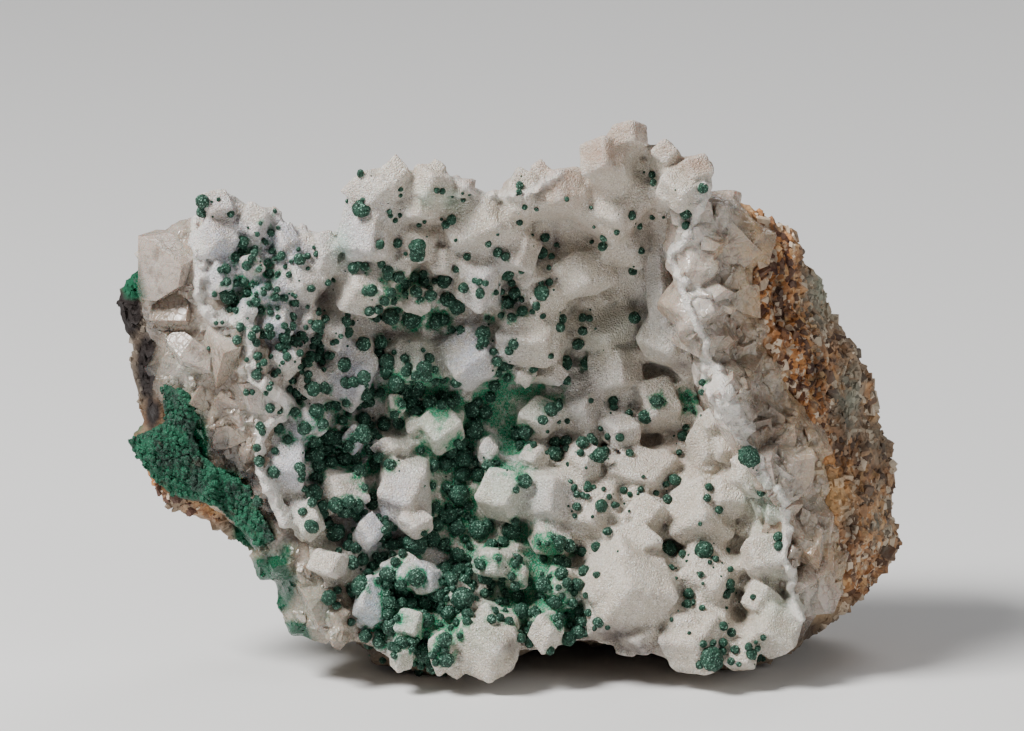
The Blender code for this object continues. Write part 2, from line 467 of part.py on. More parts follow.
def lofted(sections, steps, sides):
    """A closed skin through the sections. A section is a line of places, or one place."""
    bm = bmesh.new()
    rings = []
    for section in sections:
        ring = []
        for i in range(sides):
            angle = -math.tau * i / sides
            ring.append(on_line(section, angle) if isinstance(section, list) else section)
        rings.append(ring)
    filled = [rings[0]]
    for a, b in zip(rings, rings[1:]):
        for step in range(1, steps + 1):
            share = step / steps
            filled.append(
                [[p + (q - p) * share for p, q in zip(m, n)] for m, n in zip(a, b)]
            )
    loops = [[bm.verts.new(place(*p)) for p in ring] for ring in filled[1:-1]]
    for near, far in zip(loops, loops[1:]):
        for i in range(sides):
            j = (i + 1) % sides
            bm.faces.new((near[i], far[i], far[j], near[j]))
    for loop, end in ((loops[0], rings[0][0]), (loops[-1], rings[-1][0])):
        tip = bm.verts.new(place(*end))
        for i in range(sides):
            bm.faces.new((loop[i], loop[(i + 1) % sides], tip))
    bmesh.ops.triangulate(bm, faces=bm.faces)
    bmesh.ops.recalc_face_normals(bm, faces=bm.faces)
    return bm


def scaled_places(section, factor):
    """The section made larger or smaller round the hollow's middle."""
    return [
        (MIDDLE[0] + (p[0] - MIDDLE[0]) * factor, MIDDLE[1] + (p[1] - MIDDLE[1]) * factor, p[2])
        for p in section
    ]


def scaled(section, factor, back):
    """The section made larger or smaller, and all of it put this far back."""
    return [(p[0], p[1], back) for p in scaled_places(section, factor)]


def shifted(section, forward):
    """The section brought forward, towards the viewer."""
    return [(p[0], p[1], p[2] - forward) for p in section]


def roughen(bm, size, height, seed):
    """Moves each point along its normal by smooth noise, and by broken steps."""
    bm.normal_update()
    offset = Vector((seed * 7.3, seed * 3.1, seed * 5.7))
    moves = []
    for vert in bm.verts:
        at = vert.co / size + offset
        smooth = noise.noise(at)
        step = noise.cell(at * 1.3 + Vector((noise.noise(at * 2), 0, 0))) - 0.5
        moves.append(vert.normal * height * (smooth + STEP_SHARE * step))
    for vert, move in zip(bm.verts, moves):
        vert.co += move


def grown(obj, name, by, collection):
    """A copy of the object with each point moved out along its normal."""
    bm = bmesh.new()
    bm.from_mesh(obj.data)
    bm.normal_update()
    moves = [vert.normal * by * min(vert.calc_shell_factor(), 1.5) for vert in bm.verts]
    for vert, move in zip(bm.verts, moves):
        vert.co += move
    return helper(bm, name, collection)


def clear_of(obj, other, other_grown):
    """Keeps the gap to the other solid, and never less than none at its sharpest corners."""
    combine(obj, other_grown, "DIFFERENCE", "MANIFOLD")
    combine(obj, other, "DIFFERENCE", "MANIFOLD")


def block(across, up, width, height, front, back, turn, lean, roll, tip):
    """One blunt crystal: a tapering block from back to front with a low point on its front."""
    bm = bmesh.new()
    bmesh.ops.create_cube(bm, size=1)
    size = Vector((width, back - front, height))
    for vert in bm.verts:
        taper = CRYSTAL_TAPER if vert.co.y < 0 else 1.0
        vert.co = Vector(
            (vert.co.x * size.x * taper, vert.co.y * size.y, vert.co.z * size.z * taper)
        )
    face = min(bm.faces, key=lambda f: f.calc_center_median().y)
    top = bmesh.ops.poke(bm, faces=[face])["verts"][0]
    top.co.y -= tip * width
    turning = Euler((math.radians(-lean), math.radians(roll), math.radians(turn)), "XYZ")
    pivot = Vector((0, size.y / 2, 0))
    at = place(across, up, front)
    for vert in bm.verts:
        turned = turning.to_matrix() @ (vert.co + pivot)
        vert.co = at + turned * MM
    return bm


def seen_from_front(tree, across, up):
    """Where the view line of a place first meets the surface, and the surface's normal there."""
    start = place(across, up, 0) - VIEW_DIRECTION * DEPTH
    hit, normal, _, _ = tree.ray_cast(start, VIEW_DIRECTION)
    return hit, normal


def depth_at(tree, across, up):
    """How far back the surface is at a place, looking nearer the middle where it misses."""
    steps = 40
    for step in range(steps):
        share = step / steps
        nearer = [p + (q - p) * share for p, q in zip((across, up), MIDDLE)]
        hit, _ = seen_from_front(tree, *nearer)
        if hit is not None:
            return (hit.y + DEPTH / 2) / MM
    raise ValueError("no surface behind this place")


def tree_of(obj):
    bm = bmesh.new()
    bm.from_mesh(obj.data)
    tree = BVHTree.FromBMesh(bm)
    bm.free()
    return tree


def rock_body(cutters):
    """The whole rock, host and quartz together, with its broken faces, before it is hollow."""
    sections = [
        (*MIDDLE, ROCK_FRONT),
        shifted(scaled_places(RIM, 0.6), ROCK_FRONT),
        RIM,
        SHOULDER,
        EDGE,
        BACK,
        scaled(BACK, 0.6, DEPTH / MM - 1),
        (*MIDDLE, DEPTH / MM),
    ]
    body = helper(lofted(sections, ROCK_STEPS, ROCK_SIDES), "rock_body", cutters)
    grow_together(body, blocks_from(SHARDS + ROCK_LUMPS), cutters)
    one_skin(body, ROCK_GRAIN, ROCK_ROUNDING)
    bm = bmesh.new()
    bm.from_mesh(body.data)
    for number, (size, height) in enumerate(ROUGHNESS_SIZES):
        roughen(bm, size, height, SEED + number)
    bm.to_mesh(body.data)
    bm.free()
    simplify(body, ROCK_TRIANGLES)
    return body


def lining_region(cutters):
    """Everything in front of the surface where the lining sits on the quartz."""
    sections = [
        (*MIDDLE, HOLLOW_BACK),
        FLOOR,
        SLOPE,
        RIM,
        scaled_places(RIM, 1.3),
        scaled(RIM, 1.2, OPEN_FRONT),
        (*MIDDLE, OPEN_FRONT - 2),
    ]
    return helper(lofted(sections, 1, HOLLOW_SIDES), "lining_region", cutters)


def blocks_from(rows):
    for across, up, front, width, height, length, turn, lean, roll, tip in rows:
        yield block(across, up, width, height, front, front + length, turn, lean, roll, tip)


def quartz_region(cutters):
    """Everything in front of the surface where quartz gives way to host rock."""
    outside = [
        (p[0] * 1.3, MIDDLE[1] + (p[1] - MIDDLE[1]) * 1.4, p[2] - 7) for p in BORDER
    ]
    sections = [
        (*MIDDLE, QUARTZ_BACK),
        *(scaled(BORDER, share, QUARTZ_BACK - before) for share, before in QUARTZ_SHARES),
        BORDER,
        outside,
        scaled(outside, 0.9, OPEN_FRONT - 5),
        (*MIDDLE, OPEN_FRONT - 7),
    ]
    return helper(lofted(sections, 1, HOLLOW_SIDES), "quartz_space", cutters)


def cut_foot(obj):
    """The broken foot: flat at the height 0."""
    bm = bmesh.new()
    bm.from_mesh(obj.data)
    whole = bm.verts[:] + bm.edges[:] + bm.faces[:]
    bmesh.ops.bisect_plane(
        bm, geom=whole, plane_co=(0, 0, 0), plane_no=(0, 0, 1), clear_inner=True
    )
    rim = [edge for edge in bm.edges if edge.is_boundary]
    bmesh.ops.holes_fill(bm, edges=rim)
    bmesh.ops.recalc_face_normals(bm, faces=bm.faces)
    bm.to_mesh(obj.data)
    bm.free()


def bed_sections(forward):
    """The druse under the crystals, from the hollow's middle to the rim and back behind it."""
    return [
        (*MIDDLE, HOLLOW_BACK - forward),
        shifted(FLOOR, forward),
        shifted(SLOPE, forward),
        shifted(scaled_places(RIM, BED_SPREAD), forward / 2),
        shifted(scaled_places(RIM, BED_SPREAD), -RIM_BEHIND),
        shifted(SLOPE, -BED_BEHIND),
        shifted(FLOOR, -BED_BEHIND),
        (*MIDDLE, HOLLOW_BACK + BED_BEHIND),
    ]


def crystals_on(tree):
    for across, up, width, height, stand, turn, lean, roll, tip in CRYSTALS:
        bed_depth = depth_at(tree, across, up)
        yield block(
            across, up, width, height, bed_depth - stand, bed_depth + CRYSTAL_ROOT,
            turn, lean, roll, tip,
        )


def crust(name, cutters):
    """The bed and its crystals as one solid."""
    bed = helper(lofted(bed_sections(BED_THICKNESS), 1, HOLLOW_SIDES), name, cutters)
    grow_together(bed, crystals_on(tree_of(bed)), cutters)
    one_skin(bed, CRUST_GRAIN, CRUST_ROUNDING)
    simplify(bed, CRUST_TRIANGLES)
    return bed


def loose_parts(obj):
    """The mesh's separate bodies, largest first, as lists of face indices."""
    bm = bmesh.new()
    bm.from_mesh(obj.data)
    bm.faces.ensure_lookup_table()
    seen = set()
    parts = []
    for face in bm.faces:
        if face.index in seen:
            continue
        seen.add(face.index)
        waiting = [face]
        part = []
        while waiting:
            current = waiting.pop()
            part.append(current.index)
            for edge in current.edges:
                for near in edge.link_faces:
                    if near.index not in seen:
                        seen.add(near.index)
                        waiting.append(near)
        parts.append(part)
    bm.free()
    return sorted(parts, key=len, reverse=True)


def part_of(obj, faces, name, collection):
    """One separate body of the object as an object of its own."""
    keep = set(faces)
    bm = bmesh.new()
    bm.from_mesh(obj.data)
    bm.faces.ensure_lookup_table()
    rest = [face for face in bm.faces if face.index not in keep]
    bmesh.ops.delete(bm, geom=rest, context="FACES")
    return object_from(bm, name, collection)


def volume_of(obj):
    bm = bmesh.new()
    bm.from_mesh(obj.data)
    volume = bm.calc_volume(signed=True)
    bm.free()
    return volume


def copy_of(obj, collection):
    copy = obj.copy()
    copy.data = obj.data.copy()
    collection.objects.link(copy)
    return copy


def finished(obj, kind):
    """The object in the colour of its kind."""
    obj.data.materials.clear()
    obj.data.materials.append(material_of(kind))
    return obj


def largest_body(obj, name, collection):
    return part_of(obj, loose_parts(obj)[0], name, collection)


def outline_prism(points, reach, name, cutters):
    """A flat outline, as it is seen from the front, cut through from reach[0] to reach[1] back."""
    curve = bpy.data.curves.new(name, "CURVE")
    curve.dimensions = "2D"
    curve.fill_mode = "BOTH"
    curve.extrude = (reach[1] - reach[0]) / 2 * MM
    line = curve.splines.new("POLY")
    line.points.add(len(points) - 1)
    for point, (across, up) in zip(line.points, points):
        point.co = (across * MM, up * MM, 0, 1)
    line.use_cyclic_u = True
    outline = bpy.data.objects.new(name, curve)
    cutters.objects.link(outline)
    graph = bpy.context.evaluated_depsgraph_get()
    mesh = bpy.data.meshes.new_from_object(outline.evaluated_get(graph))
    bpy.data.objects.remove(outline)
    bm = bmesh.new()
    bm.from_mesh(mesh)
    bmesh.ops.remove_doubles(bm, verts=bm.verts, dist=0.01 * MM)
    middle = (reach[0] + reach[1]) / 2
    for vert in bm.verts:
        back = middle - vert.co.z / MM
        vert.co = place(vert.co.x / MM, vert.co.y / MM, back)
    bmesh.ops.recalc_face_normals(bm, faces=bm.faces)
    return helper(bm, name, cutters)


def layer(ground, points, reach, thickness, name, cutters):
    """An even layer over the ground, with this outline."""
    patch = outline_prism(points, reach, name, cutters)
    outer = grown(ground, name + "_outer", GAP + thickness, cutters)
    inner = grown(ground, name + "_inner", GAP, cutters)
    combine(patch, outer, "INTERSECT", "MANIFOLD")
    combine(patch, inner, "DIFFERENCE", "MANIFOLD")
    return patch


def balls_on(tree):
    """The balls, each standing on the first surface that the view meets at its place."""
    draw = random.Random(SEED)
    for across, up, diameter in BALLS:
        hit, normal = seen_from_front(tree, across, up)
        if hit is None:
            continue
        if normal.dot(VIEW_DIRECTION) > 0:
            normal = -normal
        centre = hit + normal * diameter * BALL_STAND * MM
        turn = Euler([draw.uniform(0, math.tau) for _ in range(3)]).to_matrix().to_4x4()
        fine = diameter >= FINE_BALL
        bm = bmesh.new()
        bmesh.ops.create_icosphere(
            bm,
            subdivisions=2 if fine else 1,
            radius=diameter / 2 * MM * (1.0 if fine else BALL_SWELL),
            matrix=Matrix.Translation(centre) @ turn,
        )
        yield bm


def settle(objects):
    """Puts the origin at the bottom centre of the whole piece."""
    corners = [vert.co for obj in objects for vert in obj.data.vertices]
    low = Vector(min(c[k] for c in corners) for k in range(3))
    high = Vector(max(c[k] for c in corners) for k in range(3))
    shift = Matrix.Translation((-(low.x + high.x) / 2, -(low.y + high.y) / 2, -low.z))
    for obj in objects:
        obj.data.transform(shift)


def main():
    clear_scene()
    parts = new_collection(OBJECT_NAME)
    cutters = new_collection("cutters")

    region = lining_region(cutters)
    lining = crust("lining", cutters)
    combine(lining, region, "INTERSECT", "MANIFOLD")
    lining_space = grown(lining, "lining_space", GAP, cutters)

    rock = rock_body(cutters)
    combine(rock, grown(region, "hollow", GAP, cutters), "DIFFERENCE", "MANIFOLD")
    rock = largest_body(rock, "rock", cutters)
    cut_foot(rock)
    rock_space = grown(rock, "rock_space", GAP, cutters)

    quartz_space = quartz_region(cutters)
    quartz = copy_of(rock, cutters)
    combine(quartz, quartz_space, "INTERSECT")
    host = copy_of(rock, cutters)
    combine(host, grown(quartz_space, "host_cut", GAP, cutters), "DIFFERENCE")

    made = [
        finished(largest_body(host, "host_rock", parts), "host_rock"),
        finished(largest_body(quartz, "quartz_wall", parts), "quartz_wall"),
        finished(largest_body(lining, "druse_crust", parts), "druse_crust"),
    ]

    patch = layer(rock, VELVET, VELVET_REACH, VELVET_THICKNESS, "velvet", cutters)
    made.append(finished(largest_body(patch, "malachite_velvet", parts), "malachite_velvet"))

    ground = bmesh.new()
    ground.from_mesh(made[2].data)
    ground.from_mesh(rock.data)
    ground_tree = BVHTree.FromBMesh(ground)
    ground.free()
    balls = helper(bmesh.new(), "malachite_balls", cutters)
    grow_together(balls, balls_on(ground_tree), cutters)
    clear_of(balls, lining, lining_space)
    clear_of(balls, rock, rock_space)
    clusters = [
        part_of(balls, faces, "malachite", parts) for faces in loose_parts(balls)
    ]
    clusters.sort(key=volume_of, reverse=True)
    for number, cluster in enumerate(clusters):
        if number >= MOST_CLUSTERS:
            bpy.data.objects.remove(cluster, do_unlink=True)
            continue
        cluster.name = f"malachite_cluster_{number + 1:02d}"
        made.append(finished(cluster, "malachite"))

    for obj in list(cutters.objects):
        bpy.data.objects.remove(obj, do_unlink=True)
    settle(made)


if __name__ == "__main__":
    main()
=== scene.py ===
"""Looks of a piece of malachite on drusy quartz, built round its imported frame.

Metres, +Z up, the hollow opens towards -Y. Places read from the front are in millimetres, as
(across, up, back): up is measured in the slanting view, back is the way into the rock.
"""

import json
import math
import random

import bpy
import numpy as np
from mathutils import Euler, Matrix, Vector
from mathutils.bvhtree import BVHTree
from mathutils.kdtree import KDTree

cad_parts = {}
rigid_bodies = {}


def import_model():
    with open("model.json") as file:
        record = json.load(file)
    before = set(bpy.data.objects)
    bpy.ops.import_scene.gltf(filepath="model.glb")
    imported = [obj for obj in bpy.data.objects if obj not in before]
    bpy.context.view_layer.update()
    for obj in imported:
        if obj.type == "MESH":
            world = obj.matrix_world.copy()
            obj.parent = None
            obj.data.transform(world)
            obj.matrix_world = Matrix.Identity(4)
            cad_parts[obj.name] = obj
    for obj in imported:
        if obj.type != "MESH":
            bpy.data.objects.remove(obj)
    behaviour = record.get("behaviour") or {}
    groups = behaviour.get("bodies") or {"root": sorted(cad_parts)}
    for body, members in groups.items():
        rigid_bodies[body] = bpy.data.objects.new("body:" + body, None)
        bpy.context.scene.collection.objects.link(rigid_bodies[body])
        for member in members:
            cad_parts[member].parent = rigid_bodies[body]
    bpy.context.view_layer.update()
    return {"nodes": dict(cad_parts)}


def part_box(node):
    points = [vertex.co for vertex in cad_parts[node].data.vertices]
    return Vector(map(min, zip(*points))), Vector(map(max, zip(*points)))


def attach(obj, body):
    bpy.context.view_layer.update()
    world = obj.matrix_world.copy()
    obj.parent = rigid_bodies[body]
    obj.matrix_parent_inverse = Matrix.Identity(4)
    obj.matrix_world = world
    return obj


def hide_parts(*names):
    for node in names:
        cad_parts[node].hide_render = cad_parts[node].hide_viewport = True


bl_info = {
    "name": "Malachite on drusy quartz",
    "version": (1, 0, 0),
    "blender": (4, 5, 0),
    "location": "3D View > Sidebar > Malachite",
    "description": "Dresses a hollow of drusy quartz with malachite balls and broken rock",
    "category": "Object",
}

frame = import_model()

MM = 0.001
VIEW_SLOPE = math.radians(12)
VIEW = Vector((0, math.cos(VIEW_SLOPE), -math.sin(VIEW_SLOPE)))
FOOT_RISE = 1.7  # how far below the picture's ground line the floor lies under the front edge
ORIGIN_ACROSS = 0.98  # the frame's origin in the view's own measures
ORIGIN_BACK = 24.22
START_BACK = -40  # view rays start this far back, well in front of the piece
SEED = 23

# How the crystals are shaped from the widths and heights that are listed, in millimetres
TIP_EDGE = 0.66  # edge of the cube that a tip one unit wide is made from
TIP_HEIGHT = TIP_EDGE * math.sqrt(3) / 2  # from a tip's middle to its point, before it is flattened
TIP_FORMS = ((0.72, 0.085), (0.9, 0.09), (1.1, 0.06))  # flatness and rounding of each kind of tip
TIP_ROOT = 0.12  # how much further a tip one unit wide reaches into the bed
STEEP_SHARE = 0.35  # how many of the listed crystals are of the steeper, second kind
CRYSTAL_SPREAD = 1.1  # the tips are this much wider than listed, so that they grow together
CRYSTAL_STEEPNESS = 1.25
TILT_SHARE = 0.7  # how much of a listed tilt a tip gets
BED_GRAIN = 0.6  # edge of one face of the bed under the crystals
BED_ROUNDING = 14  # rounds of smoothing for that bed
RIND_STEP = 0.7  # from one small crystal of the rind to the next
RIND_DEPTH = 4.5
RIND_SUNK = 1.3
RIND_LEAN = 12  # spread of the leans along the rind, in degrees
FILLED_FROM = 0.9  # how deep a gap between crystals has to be before a small one fills it
FILLER_LEAN = 14  # spread of the leans of the small crystals, in degrees
FILLER_TILT_SHARE = 0.6
TOWARDS_VIEWER = 1.2  # how much more a small crystal points at the viewer than away from its bed
FILLER_SINK = 0.12  # in widths
RING = 1.8  # how far round a place its depth is compared

# How the broken rock is covered; a sink is the share of a chip's size that it is pushed in by
BLOCK_SINK = 0.32
CHIP_SINK = 0.3
SHALLOW_SINK = 0.2
CRUMB_SINK = 0.35
CRUMBS = 900
CRUMB_SIZES = (0.8, 2.4)
TUFTS = 700
SKIN_OUT = 0.3  # how far the rock's skin stands out, to close the joint with the quartz
FADE_FROM = 34  # how far back the colours read from the front begin to fade
FADE_OVER = 16

# How the balls and the films are put down
OVERLAP = 0.62  # two balls come no nearer than this share of their radii together
CROWD_SPREAD = 0.55
SPECK_SPREAD = 1.4
SPECK_SIZES = (0.2, 0.5)
LARGE_BALL = 3.0
MIDDLE_BALL = 1.9
FILM_REACH = 0.7  # how far a green film spreads from a ball
NARROW_GAPS = 14  # rounds of smoothing that tell the gaps beside a crystal from its faces
WIDE_GAPS = 70
HALVES_MEET = -1  # the druse is parted here, across
GROUP_SIDES = (-10, 14)
GROUP_LEVELS = (30, 52)

# Colours that the materials mix in beside those that the panel offers
# Frosty white of the crystals, also painted on ridges and tips as highlight
FROST_AND_RIDGE_HIGHLIGHT = (0.80, 0.77, 0.73)
BEIGE = (0.42, 0.34, 0.25)
GRAIN_SHADE = (0.24, 0.21, 0.18)
SPARKLE = (0.93, 0.92, 0.9)
RIND_WHITE = (0.74, 0.71, 0.67)
FILM_SHADE = (0.004, 0.075, 0.04)
FILM_GLINT = (0.12, 0.56, 0.34)
DARK_SPECK = (0.03, 0.05, 0.04)
BALL_TINT = (0.010, 0.085, 0.045)
BALL_SHADE = (0.002, 0.012, 0.008)
BALL_GLINT = (0.22, 0.42, 0.32)
BLACK_QUARTZ = (0.022, 0.018, 0.016)
DUST = (0.33, 0.27, 0.20)
CREAM = (0.74, 0.60, 0.44)
PALE_CRUMB = (0.74, 0.62, 0.48)
BLACK_ROCK = (0.014, 0.009, 0.008)
VELVET_SHADE = (0.003, 0.018, 0.012)
VELVET_BROWN = (0.05, 0.03, 0.02)
VELVET_GLINT = (0.06, 0.42, 0.25)
SKY_COLOUR = (0.9, 0.93, 1.0)

# What the picture shows: its middle, its width and the depth at which they are measured
PICTURE_MIDDLE = (1.05, 48.1)
PICTURE_WIDTH = 153.6
PICTURE_BACK = 12
LAMPS_AIM = Vector((0, 0, 0.045))

